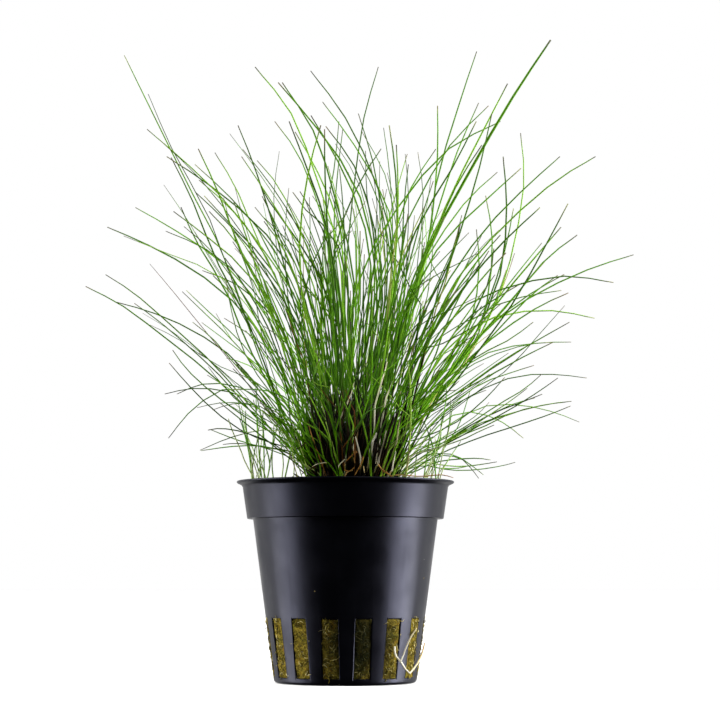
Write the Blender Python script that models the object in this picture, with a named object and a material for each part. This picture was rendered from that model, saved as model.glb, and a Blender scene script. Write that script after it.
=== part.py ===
"""Dwarf hairgrass growing from a slotted net pot that is filled with rockwool.

Lengths are millimetres until a mesh is finished, which MM then turns into metres. The pot stands on z = 0
with its axis on z, and its front is at -y.
"""

import math
import random

import bmesh
import bpy
import numpy as np
from mathutils import Matrix, Vector

MM = 0.001
GAP = 0.3
CUT_MARGIN = 1.0
SMOOTH_ANGLE = math.radians(40)

# Net pot, a nominal 50 mm one, turned about z
POT_HEIGHT = 49.3
WALL = 0.8
FLOOR = 1.0
LIP_RADIUS = 26.95
LIP_THICKNESS = 0.6
COLLAR_TOP = 47.8
COLLAR_TOP_RADIUS = 25.4
COLLAR_FOOT = 40.0
COLLAR_FOOT_RADIUS = 24.25
LEDGE = 0.9
BODY_TOP_RADIUS = 22.8
FOOT_RADIUS = 17.6
FOOT_ROUND = 1.0
POT_SIDES = 45

# Slots, through the wall and through the floor
SLOTS = 15
SLOT_TURN = -10.7
SLOT_WIDTH = 4.0
SLOT_FOOT = 1.6
SLOT_TOP = 15.8
SLOT_REACH = (14.6, 23.8)
FLOOR_SLOTS = 5
FLOOR_SLOT_WIDTH = 3.0
FLOOR_SLOT_REACH = (4.5, 13.0)

# Rockwool plug, loose in the pot
WOOL_CLEARANCE = 0.55
WOOL_CHAMFER = 1.0
WOOL_TOP = 45.6
WOOL_SIDES = 24

# Crown, the mat of rhizomes and old sheaths on top of the wool
CROWN_RADIUS = 12.4
CROWN_FOOT = WOOL_TOP + GAP
CROWN_HEIGHT = 5.0
CROWN_SWELL = 0.8
CROWN_RINGS = (0.97, 0.85, 0.65, 0.4)
CROWN_SIDES = 20

# Sheaths, one under each shoot's culms. They fan out from the crown
SHEATH_LENGTH = 9.0
SHEATH_RADIUS = 0.85
SHEATH_FOOT = 0.8
SHEATH_SIDES = 6
SHEATH_MARGIN = 0.12
SHEATH_LEAN = 0.75
ROOTED_RADIUS = 10.4
ROOTED_ABOVE = 1.1
EDGE_LEAN = math.radians(80)
GOLDEN_ANGLE = math.radians(137.508)

# Culms, the stems: each shoot's listed ones, and shorter companions beside the first of them
CULMS_IN_SHOOT = 4
CULM_STEPS = 5
COMPANION_STEPS = 4
CULM_RADIUS = 0.25
CULM_CLEARANCE = 0.14
START_RADIUS = 0.08
CULM_TAPER = 0.93
COMPANION_SHARE = (0.5, 0.92)
COMPANION_DRIFT = (5.0, 5.0, 3.0)
DEPTH_STEP = 0.9
DEPTH_DELAY = 1.15
MOST_TRIES = 90
SEED = 7

# A tuft's outline is given as it looks from this far in front of the axis, at this height
EYE_DISTANCE = 512.0
EYE_HEIGHT = 26.0

# Longest culms of each shoot: tip x, tip z, x and z of a point lower down, depth of the tip
SHOOTS = (
    ((-56, 157, -31, 105, -6),),
    ((-50, 138, -33, 123, -14), (-45, 131, -24, 116, -10)),
    ((-38, 129, -25, 117, 4), (-33, 132, -24, 114, 8)),
    ((-37, 125, -25, 113, 16), (-38, 122, -25, 110, 21)),
    ((-37, 133, -25, 104, -20), (-27, 139, -21, 122, -24)),
    ((-26, 131, -12, 109, -30), (-24, 107, -14, 91, -34)),
    ((-23, 154, -5, 119, 10), (-18, 140, -5, 113, 14)),
    ((-17, 150, 4, 117, -12), (-16, 150, -3, 122, -8)),
    ((-9, 153, 10, 111, 18), (-6, 145, 6, 127, 22)),
    ((-14, 140, -6, 118, -36), (-6, 139, -11, 116, -38), (-5, 138, -4, 112, -42)),
    ((3, 142, 9, 118, 28), (8, 154, 2, 122, 34)),
    ((11, 139, 12, 104, -4), (9, 133, 1, 118, -10)),
    ((-2, 140, -4, 128, 44), (-1, 138, -3, 115, 40)),
    ((-43, 117, -30, 107, -26), (-45, 112, -30, 104, -20)),
    ((-53, 118, -37, 109, 32), (-60, 113, -30, 95, 36)),
    ((-60, 101, -36, 81, -12), (-65, 98, -42, 82, -2), (-57, 94, -33, 83, -6)),
    ((-40, 97, -25, 82, 28), (-36, 102, -23, 95, 24)),
    ((-38, 89, -25, 76, -24), (-43, 82, -25, 64, -18)),
    ((-44, 60, -23, 72, 8), (-42, 71, -23, 71, 12), (-45, 71, -19, 65, 4)),
    ((-34, 62, -19, 58, -18), (-36, 57, -12, 56, -10), (-33, 67, -22, 68, -22)),
    ((52, 161, 28, 122, -16),),
    ((33, 158, 20, 115, 20), (23, 144, 22, 126, 26)),
    ((36, 144, 20, 122, 4), (39, 140, 11, 118, 0)),
    ((33, 140, 16, 109, -12), (37, 142, 28, 108, -18)),
    ((44, 137, 42, 105, 10),),
    ((44, 128, 21, 105, 14), (38, 127, 22, 110, 20)),
    ((54, 131, 34, 112, -8), (63, 131, 37, 111, -14)),
    ((49, 118, 37, 107, -26), (56, 119, 46, 100, -20)),
    ((58, 111, 37, 90, 8), (54, 113, 40, 96, 4)),
    ((72, 106, 39, 91, 16), (62, 90, 42, 91, 24)),
    ((67, 99, 39, 98, -2), (54, 97, 39, 94, -8)),
    ((56, 84, 40, 83, 34), (51, 84, 37, 81, 28)),
    ((56, 89, 42, 81, -14), (47, 89, 36, 83, -20)),
    ((35, 121, 37, 105, 26), (29, 116, 19, 90, 20)),
    ((16, 129, 14, 112, -30), (13, 134, 13, 118, -34)),
    ((49, 109, 38, 95, 24), (33, 105, 25, 88, 32)),
    ((60, 75, 40, 75, 6), (58, 64, 31, 67, 10)),
    ((53, 75, 26, 60, -20), (49, 76, 36, 67, -14)),
    ((55, 69, 28, 61, -4), (56, 68, 23, 56, -10)),
    ((47, 70, 32, 64, 18), (44, 60, 27, 66, 22)),
    ((42, 54, 20, 53, 10), (33, 50, 26, 56, 4)),
    ((-14, 78, -9, 74, -58), (-20, 88, -12, 80, -50)),
    ((10, 68, 7, 67, -60), (16, 82, 10, 76, -54)),
    ((-28, 72, -16, 70, -42), (-30, 90, -18, 80, -40)),
    ((28, 72, 16, 70, -44), (24, 94, 14, 84, -44)),
    ((-4, 104, -3, 88, -52), (4, 112, 3, 92, -46)),
    ((-12, 82, -8, 74, 58), (-22, 94, -13, 82, 50)),
    ((14, 76, 9, 72, 60), (20, 92, 12, 80, 54)),
    ((-30, 80, -18, 74, 46), (-26, 98, -15, 84, 40)),
    ((30, 84, 18, 76, 46), (26, 102, 15, 86, 42)),
    ((2, 112, 2, 92, 54), (-6, 120, -3, 96, 48)),
)

# Plantlets: the same, after the x and y of the place just inside the rim where each one is rooted
PLANTLETS = (
    ((-22.0, -5.0), ((-27, 71, -25, 60, -8), (-25, 65, -24, 58, -2))),
    ((-20.5, 8.5), ((-22, 73, -22, 60, 9), (-26, 68, -24, 59, 12))),
    ((21.8, -5.5), ((27, 69, 25, 60, -9), (25, 74, 24, 60, -4))),
    ((20.2, 9.0), ((31, 72, 26, 59, 12), (24, 66, 23, 57, 8))),
)
PLANTLET_ROOT_HEIGHT = 46.8
PLANTLET_SHEATH = 3.2

# Escaped root: x, y, z of its stem's points and of its branch's points, outside the slots
ROOT_RADIUS = 0.36
ROOT_TAPER = 0.98
BRANCH_SHARE = 0.85
ROOT_STEM = (
    (11.8, -14.6, 9.2),
    (12.1, -15.1, 7.1),
    (13.3, -15.5, 5.7),
    (15.2, -14.6, 2.9),
    (16.6, -13.6, 4.2),
    (17.9, -12.4, 6.1),
    (18.7, -11.4, 8.2),
    (19.2, -11.2, 10.1),
)
ROOT_BRANCH = ((13.3, -15.5, 5.7), (14.7, -15.7, 9.3), (15.6, -16.0, 11.3), (17.1, -16.0, 13.6))
ROOT_STEPS = 12
ROOT_SIDES = 5

COLOURS = {
    "black polypropylene": ("#121214", 0.42),
    "rockwool": ("#5e5626", 0.95),
    "root mat": ("#2c1e12", 0.9),
    "green culm": ("#4f7a22", 0.5),
    "pale culm": ("#9db36a", 0.5),
    "straw root": ("#cdbb86", 0.6),
}


def linear(channel):
    return channel / 12.92 if channel <= 0.04045 else ((channel + 0.055) / 1.055) ** 2.4


def material(name):
    """The Principled material of this name, made once."""
    if name in bpy.data.materials:
        return bpy.data.materials[name]
    colour, roughness = COLOURS[name]
    rgb = [linear(int(colour[i : i + 2], 16) / 255) for i in (1, 3, 5)]
    made = bpy.data.materials.new(name)
    made.use_nodes = True
    shader = made.node_tree.nodes["Principled BSDF"]
    shader.inputs["Base Color"].default_value = (*rgb, 1)
    shader.inputs["Roughness"].default_value = roughness
    shader.inputs["Metallic"].default_value = 0
    made.diffuse_color = (*rgb, 1)
    return made


def finish(name, bm, look):
    """Turn the bmesh into an object in metres, with its faces facing out and its round sides smooth."""
    bmesh.ops.recalc_face_normals(bm, faces=bm.faces)
    bmesh.ops.scale(bm, vec=(MM, MM, MM), verts=bm.verts)
    mesh = bpy.data.meshes.new(name)
    bm.to_mesh(mesh)
    bm.free()
    mesh.shade_smooth()
    mesh.set_sharp_from_angle(angle=SMOOTH_ANGLE)
    mesh.materials.append(material(look))
    obj = bpy.data.objects.new(name, mesh)
    bpy.context.scene.collection.objects.link(obj)
    return obj


def turned(profile, sides):
    """A bmesh turned about z from a profile of (radius, z) whose two ends are on the axis."""
    bm = bmesh.new()
    points = [bm.verts.new((radius, 0, z)) for radius, z in profile]
    edges = [bm.edges.new(pair) for pair in zip(points, points[1:])]
    bmesh.ops.spin(
        bm, geom=points + edges, axis=(0, 0, 1), cent=(0, 0, 0), angle=math.tau, steps=sides, use_merge=True
    )
    bmesh.ops.remove_doubles(bm, verts=bm.verts, dist=0.001)
    return bm


def add_box(bm, low, high, turn):
    """Add the box between two corners, turned about z by this many degrees."""
    low, high = Vector(low), Vector(high)
    place = (
        Matrix.Rotation(math.radians(turn), 4, "Z")
        @ Matrix.Translation((low + high) / 2)
        @ Matrix.Diagonal((*(high - low), 1))
    )
    bmesh.ops.create_cube(bm, size=1, matrix=place)


def slot_cutters():
    """Boxes through the wall and the floor, one for each slot."""
    bm = bmesh.new()
    half = SLOT_WIDTH / 2
    near, far = SLOT_REACH
    for i in range(SLOTS):
        add_box(bm, (-half, -far, SLOT_FOOT), (half, -near, SLOT_TOP), SLOT_TURN + i * 360 / SLOTS)
    half = FLOOR_SLOT_WIDTH / 2
    near, far = FLOOR_SLOT_REACH
    for i in range(FLOOR_SLOTS):
        low, high = (-half, -far, -CUT_MARGIN), (half, -near, FLOOR + CUT_MARGIN)
        add_box(bm, low, high, i * 360 / FLOOR_SLOTS)
    cutters = finish("slot_cutters", bm, "black polypropylene")
    cutters.hide_render = True
    cutters.display_type = "WIRE"
    return cutters


def pot():
    """A tapered cup with a collar standing out above a ledge, and a thin lip that flares."""
    profile = (
        (0, 0),
        (FOOT_RADIUS - FOOT_ROUND, 0),
        (FOOT_RADIUS, FOOT_ROUND),
        (BODY_TOP_RADIUS, COLLAR_FOOT),
        (COLLAR_FOOT_RADIUS, COLLAR_FOOT),
        (COLLAR_TOP_RADIUS, COLLAR_TOP),
        (LIP_RADIUS - LIP_THICKNESS / 2, POT_HEIGHT - LIP_THICKNESS),
        (LIP_RADIUS, POT_HEIGHT),
        (LIP_RADIUS - LIP_THICKNESS, POT_HEIGHT),
        (COLLAR_TOP_RADIUS - WALL, COLLAR_TOP),
        (COLLAR_FOOT_RADIUS - WALL, COLLAR_FOOT + LEDGE),
        (BODY_TOP_RADIUS - WALL, COLLAR_FOOT + LEDGE),
        (FOOT_RADIUS - WALL, FLOOR),
        (0, FLOOR),
    )
    obj = finish("pot", turned(profile, POT_SIDES), "black polypropylene")
    cut = obj.modifiers.new("Slots", "BOOLEAN")
    cut.operation = "DIFFERENCE"
    cut.solver = "EXACT"
    cut.object = slot_cutters()


def body_radius(z):
    """Outer radius of the pot's tapered body at this height."""
    share = (z - FOOT_ROUND) / (COLLAR_FOOT - FOOT_ROUND)
    return FOOT_RADIUS + (BODY_TOP_RADIUS - FOOT_RADIUS) * share


def rockwool_plug():
    """A tapered plug with chamfered edges that fills the pot."""
    foot = FLOOR + GAP
    foot_radius = body_radius(foot) - WALL - WOOL_CLEARANCE
    top_radius = body_radius(WOOL_TOP - WOOL_CHAMFER) - WALL - WOOL_CLEARANCE
    profile = (
        (0, foot),
        (foot_radius - WOOL_CHAMFER, foot),
        (foot_radius, foot + WOOL_CHAMFER),
        (top_radius, WOOL_TOP - WOOL_CHAMFER),
        (top_radius - WOOL_CHAMFER, WOOL_TOP),
        (0, WOOL_TOP),
    )
    finish("rockwool_plug", turned(profile, WOOL_SIDES), "rockwool")


def crown_top(radius):
    """Height of the crown's surface at this distance from the axis."""
    return CROWN_FOOT + CROWN_HEIGHT * (1 - (radius / CROWN_RADIUS) ** 2) ** CROWN_SWELL


def root_crown():
    """A low round mound with a flat foot."""
    profile = [(0, CROWN_FOOT), (CROWN_RADIUS, CROWN_FOOT)]
    profile += [(CROWN_RADIUS * share, crown_top(CROWN_RADIUS * share)) for share in CROWN_RINGS]
    profile.append((0, crown_top(0)))
    finish("root_crown", turned(profile, CROWN_SIDES), "root mat")


def seen_at(x, z, depth):
    """The point at this depth that looks from the front as if it were at x, z on the axis plane."""
    spread = 1 + depth / EYE_DISTANCE
    return np.array((x * spread, depth, EYE_HEIGHT + (z - EYE_HEIGHT) * spread))


def lengths(arms):
    return np.linalg.norm(arms, axis=-1)


def arc(base, way, tip, steps):
    """Points on the parabola from base through way to tip."""
    rise = lengths(way - base)
    t = rise / (rise + lengths(tip - way))
    control = (way - (1 - t) ** 2 * base - t**2 * tip) / (2 * t * (1 - t))
    s = np.linspace(0, 1, steps + 1)[:, None]
    return (1 - s) ** 2 * base + 2 * s * (1 - s) * control + s**2 * tip


def least_gap(path, placed):
    """The least distance between a path's straight runs and those already placed, less their radii."""
    start, run = path[:-1, None], np.diff(path, axis=0)[:, None]
    other_start = np.array([leg[0] for leg in placed])
    other_run = np.array([leg[1] for leg in placed]) - other_start
    radii = np.array([leg[2] for leg in placed])
    between = start - other_start
    a, b, c = (run * run).sum(-1), (run * other_run).sum(-1), (other_run * other_run).sum(-1)
    d, e = (run * between).sum(-1), (other_run * between).sum(-1)
    s = np.clip((b * e - c * d) / np.maximum(a * c - b * b, 1e-9), 0, 1)
    t = np.clip((b * s + e) / c, 0, 1)
    s = np.clip((b * t - d) / a, 0, 1)
    apart = lengths(between + s[..., None] * run - t[..., None] * other_run)
    return (apart - radii).min()


def legs(path, radius):
    """A path's straight runs, each with its two ends and its radius."""
    return [(a, b, radius) for a, b in zip(path, path[1:])]


def roots_on_crown(count):
    """Rooting places spread evenly over the crown, each a golden angle further round than the last."""
    radii = [ROOTED_RADIUS * math.sqrt((i + 0.5) / count) for i in range(count)]
    turns = [i * GOLDEN_ANGLE for i in range(count)]
    heights = [crown_top(r) + ROOTED_ABOVE for r in radii]
    return [np.array((r * math.cos(a), r * math.sin(a), z)) for r, a, z in zip(radii, turns, heights)]


def wanted_root(culm):
    """Where on the crown a shoot would be rooted if its culms fanned out evenly: flat ones at the edge."""
    x, z, _, _, depth = culm
    tip = seen_at(x, z, depth)
    reach = math.hypot(tip[0], tip[1])
    lean = math.atan2(reach, tip[2] - crown_top(0)) / EDGE_LEAN
    return tip[:2] / reach * ROOTED_RADIUS * min(1, lean)


def rooted_shoots():
    """(root, culms) for each shoot. Shoots swap their places until no swap brings them nearer their own."""
    roots = roots_on_crown(len(SHOOTS))
    wanted = [wanted_root(culms[0]) for culms in SHOOTS]
    miss = [[((root[:2] - want) ** 2).sum() for root in roots] for want in wanted]
    held = list(range(len(SHOOTS)))
    swapped = True
    while swapped:
        swapped = False
        for i in range(len(held)):
            for j in range(i):
                a, b = held[i], held[j]
                if miss[i][b] + miss[j][a] < miss[i][a] + miss[j][b] - 1e-9:
                    held[i], held[j] = b, a
                    swapped = True
    return [(roots[k], culms) for k, culms in zip(held, SHOOTS)]


def way_point(culm, start, depth):
    """The lower point of a culm, with the part of its depth that the culm has reached there."""
    x, z, way_x, way_z, _ = culm
    below = math.hypot(way_x - start[0], way_z - start[2])
    share = below / (below + math.hypot(x - way_x, z - way_z))
    return seen_at(way_x, way_z, start[1] + (depth - start[1]) * share**DEPTH_DELAY)


def sheath_axis(root):
    """Unit vector along a sheath. Sheaths fan out, so that the ones at the crown's edge lean the most."""
    lean = EDGE_LEAN * SHEATH_LEAN * math.hypot(root[0], root[1]) / ROOTED_RADIUS
    turn = math.atan2(root[1], root[0])
    return np.array((math.sin(lean) * math.cos(turn), math.sin(lean) * math.sin(turn), math.cos(lean)))


def upright_to(axis):
    """The rotation that takes +z to this direction."""
    return Vector((0, 0, 1)).rotation_difference(Vector(axis)).to_matrix()


def culm_starts(top, axis):
    """Centres of the triangles that the sheath's top is parted into."""
    arms = [Vector((0, SHEATH_RADIUS, 0)) for _ in range(SHEATH_SIDES)]
    for i, arm in enumerate(arms):
        arm.rotate(Matrix.Rotation(i * math.tau / SHEATH_SIDES, 3, "Z"))
        arm.rotate(upright_to(axis))
    corners = [top + np.array(arm) for arm in arms]
    return [(a + b + top) / 3 for a, b in zip(corners, corners[1:] + corners[:1])]


def leader_tries(culm, start):
    """A culm's tip and lower point, and the same further and further back and forward."""
    for i in range(MOST_TRIES):
        depth = culm[4] + (i + 1) // 2 * DEPTH_STEP * (-1) ** i
        yield seen_at(culm[0], culm[1], depth), way_point(culm, start, depth)


def companion_tries(leader, chance):
    """Tips and lower points of shorter culms that keep beside the leader's path."""
    for _ in range(MOST_TRIES):
        share = chance.uniform(*COMPANION_SHARE)
        low = int(share * (len(leader) - 1))
        tip = leader[low] + (leader[low + 1] - leader[low]) * (share * (len(leader) - 1) - low)
        drift = np.array([chance.uniform(-most, most) for most in COMPANION_DRIFT])
        yield tip + drift, leader[low // 2] + drift / 3


def grow_culm(tries, starts, steps, placed):
    """The first of the tries that clears what is placed, from the nearest free sheath triangle that allows it."""
    for tip, way in tries:
        for k in sorted(range(len(starts)), key=lambda i: lengths(starts[i] - way)):
            path = arc(starts[k], way, tip, steps)
            if least_gap(path, placed) > CULM_RADIUS + CULM_CLEARANCE and path[:, 2].min() > POT_HEIGHT:
                starts.pop(k)
                return path
    return None


def grow_shoot(culms, top, axis, chance, others):
    """Paths of a shoot's culms: the listed ones, then companions of the first."""
    starts = culm_starts(top, axis)
    taken = list(others)
    paths = []
    for k in range(CULMS_IN_SHOOT):
        if k < len(culms):
            path = grow_culm(leader_tries(culms[k], top), starts, CULM_STEPS, taken)
        else:
            path = grow_culm(companion_tries(paths[0], chance), starts, COMPANION_STEPS, taken)
        if path is not None:
            paths.append(path)
            taken += legs(path[:2], START_RADIUS) + legs(path[1:], CULM_RADIUS)
    return paths


def rooted_places():
    """(name, root, sheath top, sheath axis, culms) of every shoot and plantlet."""
    places = []
    for i, (root, culms) in enumerate(rooted_shoots()):
        axis = sheath_axis(root)
        places.append((f"shoot_{i + 1:02d}", root, root + axis * SHEATH_LENGTH, axis, culms))
    for i, ((x, y), culms) in enumerate(PLANTLETS):
        root = np.array((x, y, PLANTLET_ROOT_HEIGHT))
        axis = np.array((0, 0, 1.0))
        places.append((f"plantlet_{i + 1:02d}", root, root + axis * PLANTLET_SHEATH, axis, culms))
    return places


def plan():
    """(name, root, sheath top, sheath axis, culm paths) of each shoot and plantlet, no two of which touch."""
    chance = random.Random(SEED)
    places = rooted_places()
    sheaths = [(root, top, SHEATH_RADIUS) for _, root, top, _, _ in places]
    grown = []
    planned = []
    for i, (name, root, top, axis, culms) in enumerate(places):
        others = sheaths[:i] + sheaths[i + 1 :] + grown
        paths = grow_shoot(culms, top, axis, chance, others)
        for path in paths:
            grown += legs(path, CULM_RADIUS)
        planned.append((name, root, top, axis, paths))
    return planned


def prism(bm, foot, top, foot_radius, top_radius, sides):
    """Add a prism from foot to top, and return its top face."""
    foot, top = Vector(foot), Vector(top)
    made = bmesh.ops.create_cone(
        bm,
        cap_ends=True,
        segments=sides,
        radius1=foot_radius,
        radius2=top_radius,
        depth=(top - foot).length,
        matrix=Matrix.Translation((foot + top) / 2) @ upright_to(top - foot).to_4x4(),
    )
    faces = {face for vert in made["verts"] for face in vert.link_faces}
    return max(faces, key=lambda face: (face.calc_center_median() - foot).length)


def extrude_along(bm, face, path, taper):
    """Extrude a face along a path, turned to face along it, growing thinner and ending in a point."""
    centre = face.calc_center_median()
    heading = face.normal.copy()
    for i in range(1, len(path)):
        point = Vector(path[i])
        ahead = Vector(path[min(i + 1, len(path) - 1)] - path[i - 1]).normalized()
        turn = heading.rotation_difference(ahead)
        grown = bmesh.ops.extrude_discrete_faces(bm, faces=[face])["faces"][0]
        for vert in grown.verts:
            arm = vert.co - centre
            arm.rotate(turn)
            vert.co = point + arm * taper
        face, centre, heading = grown, point, ahead
    bmesh.ops.pointmerge(bm, verts=list(face.verts), merge_co=centre)


def shoot(name, root, top, axis, paths, look, sheath_look):
    """A sheath with culms growing out of its top, one from each of the triangles that it is parted into."""
    bm = bmesh.new()
    cap = prism(bm, root, top, SHEATH_RADIUS * SHEATH_FOOT, SHEATH_RADIUS, SHEATH_SIDES)
    starts = bmesh.ops.poke(bm, faces=[cap])["faces"]
    for path in paths:
        start = min(starts, key=lambda face: (face.calc_center_median() - Vector(path[0])).length)
        starts.remove(start)
        bmesh.ops.inset_individual(bm, faces=[start], thickness=SHEATH_MARGIN)
        extrude_along(bm, start, path, CULM_TAPER)
    obj = finish(name, bm, look)
    obj.data.materials.append(material(sheath_look))
    up = Vector(axis)
    sheath_top = Vector(top).dot(up) + SHEATH_MARGIN
    for face in obj.data.polygons:
        if face.center.dot(up) < sheath_top * MM:
            face.material_index = 1


def smooth_path(points, steps):
    """Points on a smooth curve through the given ones."""
    points = [Vector(p) for p in points]
    ends = [2 * points[0] - points[1], *points, 2 * points[-1] - points[-2]]
    runs = len(points) - 1
    found = []
    for i in range(steps + 1):
        run = min(int(i * runs / steps), runs - 1)
        t = i * runs / steps - run
        a, b, c, d = ends[run : run + 4]
        found.append(
            (2 * b + (c - a) * t + (2 * a - 5 * b + 4 * c - d) * t**2 + (3 * b - a - 3 * c + d) * t**3) / 2
        )
    return found


def root_tube(name, points, radius):
    """A thin round root along a smooth path, closed at its start and pointed at its end."""
    path = smooth_path(points, ROOT_STEPS)
    bm = bmesh.new()
    face = prism(bm, path[0], path[1], radius, radius, ROOT_SIDES)
    extrude_along(bm, face, path[1:], ROOT_TAPER)
    return finish(name, bm, "straw root")


def escaped_root():
    """A root with one side branch that has come out through a slot and wanders outside the wall."""
    stem = root_tube("escaped_root", ROOT_STEM, ROOT_RADIUS)
    branch = root_tube("escaped_root_branch", ROOT_BRANCH, ROOT_RADIUS * BRANCH_SHARE)
    branch.hide_render = True
    branch.display_type = "WIRE"
    join = stem.modifiers.new("Branch", "BOOLEAN")
    join.operation = "UNION"
    join.solver = "EXACT"
    join.object = branch


def main():
    for obj in list(bpy.data.objects):
        bpy.data.objects.remove(obj)
    pot()
    rockwool_plug()
    root_crown()
    escaped_root()
    for name, root, top, axis, paths in plan():
        if name.startswith("plantlet"):
            shoot(name, root, top, axis, paths, "pale culm", "pale culm")
        else:
            shoot(name, root, top, axis, paths, "green culm", "root mat")


main()
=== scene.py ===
import math
import random
from functools import partial

import bmesh
import bpy
import numpy as np
from mathutils import Matrix, Vector


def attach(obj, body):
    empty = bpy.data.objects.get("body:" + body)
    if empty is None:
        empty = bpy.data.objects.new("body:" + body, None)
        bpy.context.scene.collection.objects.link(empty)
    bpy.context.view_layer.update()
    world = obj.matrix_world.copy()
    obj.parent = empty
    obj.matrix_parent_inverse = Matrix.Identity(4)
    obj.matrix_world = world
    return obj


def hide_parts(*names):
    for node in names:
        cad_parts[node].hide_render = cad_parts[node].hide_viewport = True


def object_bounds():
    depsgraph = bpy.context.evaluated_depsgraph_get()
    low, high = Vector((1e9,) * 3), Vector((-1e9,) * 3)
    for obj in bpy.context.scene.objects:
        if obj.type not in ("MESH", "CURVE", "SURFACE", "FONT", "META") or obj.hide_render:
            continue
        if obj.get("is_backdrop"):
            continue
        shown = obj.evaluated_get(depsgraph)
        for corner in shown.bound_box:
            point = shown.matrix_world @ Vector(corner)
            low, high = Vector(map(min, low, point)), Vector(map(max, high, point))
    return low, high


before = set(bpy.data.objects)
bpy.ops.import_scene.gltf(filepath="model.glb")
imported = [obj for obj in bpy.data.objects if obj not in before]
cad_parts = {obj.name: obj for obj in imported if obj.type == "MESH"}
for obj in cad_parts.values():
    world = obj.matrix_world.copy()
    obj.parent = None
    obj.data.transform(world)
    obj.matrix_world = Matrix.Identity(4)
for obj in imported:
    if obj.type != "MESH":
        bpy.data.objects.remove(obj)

bl_info = {
    "name": "Potted Dwarf Hairgrass",
    "version": (1, 0, 0),
    "blender": (4, 5, 0),
    "location": "View3D > Sidebar > Hairgrass",
    "description": "Builds dwarf hairgrass in a net pot of rockwool, with its materials, lights and camera",
    "category": "Object",
}

CAD_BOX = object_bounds()
MM = 0.001

# Net pot: radius and height of each row, millimetres, as in the solid that it stands for
POT_HEIGHT = 49.3
WALL = 0.8
FLOOR = 1.0
LIP_RADIUS = 26.95
LIP_THICKNESS = 0.6
COLLAR_TOP = 47.8
COLLAR_TOP_RADIUS = 25.4
COLLAR_FOOT = 40.0
COLLAR_FOOT_RADIUS = 24.25
LEDGE = 0.9
LIP_FLARE = 0.35
LIP_FLARE_HEIGHT = 0.5
BODY_TOP_RADIUS = 22.8
FOOT_RADIUS = 17.6
FOOT_ROUND = 1.0
FOOT_ROUND_STEPS = 3
POT_COLUMNS = 180
SLOTS = 15
SLOT_TURN = -10.7
SLOT_WIDTH = 4.0
SLOT_FOOT = 1.6
SLOT_TOP = 15.8
SLOT_REACH = (14.6, 23.8)
SLOT_ROUND = 0.2
MOUTH_ANGLE = math.radians(50)
TOUCHING = 1e-6
FLOOR_SLOTS = 5
FLOOR_SLOT_WIDTH = 3.0
FLOOR_SLOT_REACH = (4.5, 13.0)
EDGE_ANGLE = math.radians(28)

# Faces of the wall that are cut along a slot's side, and then taken out, as shares of its half width
CUT_REACH = 1.8
OPEN_REACH = 0.99

# Rockwool plug with its loose fibres, and the crown on it
GAP = 0.3
WOOL_CLEARANCE = 0.55
WOOL_CHAMFER = 1.0
WOOL_TOP = 45.6
BULGE = 1.5
BULGE_EASE = 0.7
# Middle and reach of the wool's darkening at the pot's front: damp and algae, and painted shade
SOAKED_SHADED_MIDDLE = (3.5, -18.6, 10.0)
SOAKED_SHADED_REACH = (3.5, 14.0)
WOOL_COLUMNS = 200
WOOL_ROWS = 84
WOOL_RINGS = 16
FACES_UP = 0.9
LUMP_DETAIL = 4
FIBRE_SIDES = 3
FIBRE_RADIUS = 0.065
FIBRE_RINGS = (0, 0.25, 0.5, 0.75, 1)
FIBRE_REACH = 20.4
FIBRE_ASIDE = 0.44
FIBRE_LENGTH = (0.3, 1.1)
FIBRE_BEND = 0.5
CROWN_RADIUS = 12.4
CROWN_FOOT = WOOL_TOP + GAP
CROWN_HEIGHT = 5.0
CROWN_SWELL = 0.8
CROWN_COLUMNS = 96
CROWN_ROWS = 64
CROWN_LUMP = 1.6
CROWN_LUMP_DEPTH = 1.2

# Where the shoots are rooted and how their sheaths stand, as in the solids
SHEATH_LENGTH = 9.0
SHEATH_RADIUS = 0.85
SHEATH_SIDES = 6
SHEATH_LEAN = 0.75
ROOTED_RADIUS = 10.4
ROOTED_ABOVE = 1.1
EDGE_LEAN = math.radians(80)
GOLDEN_ANGLE = math.radians(137.508)

# Culms of the solids
CULMS_IN_SHOOT = 4
CULM_STEPS = 5
COMPANION_STEPS = 4
CULM_RADIUS = 0.25
CULM_CLEARANCE = 0.14
START_RADIUS = 0.08
COMPANION_SHARE = (0.5, 0.92)
COMPANION_DRIFT = (5.0, 5.0, 3.0)
DEPTH_STEP = 0.9
DEPTH_DELAY = 1.15
MOST_TRIES = 90
SEED = 7
EYE_DISTANCE = 512.0
EYE_HEIGHT = 26.0
FRAME_MIDDLE = (3.6, 79.5)
SENSOR = 36

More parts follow.
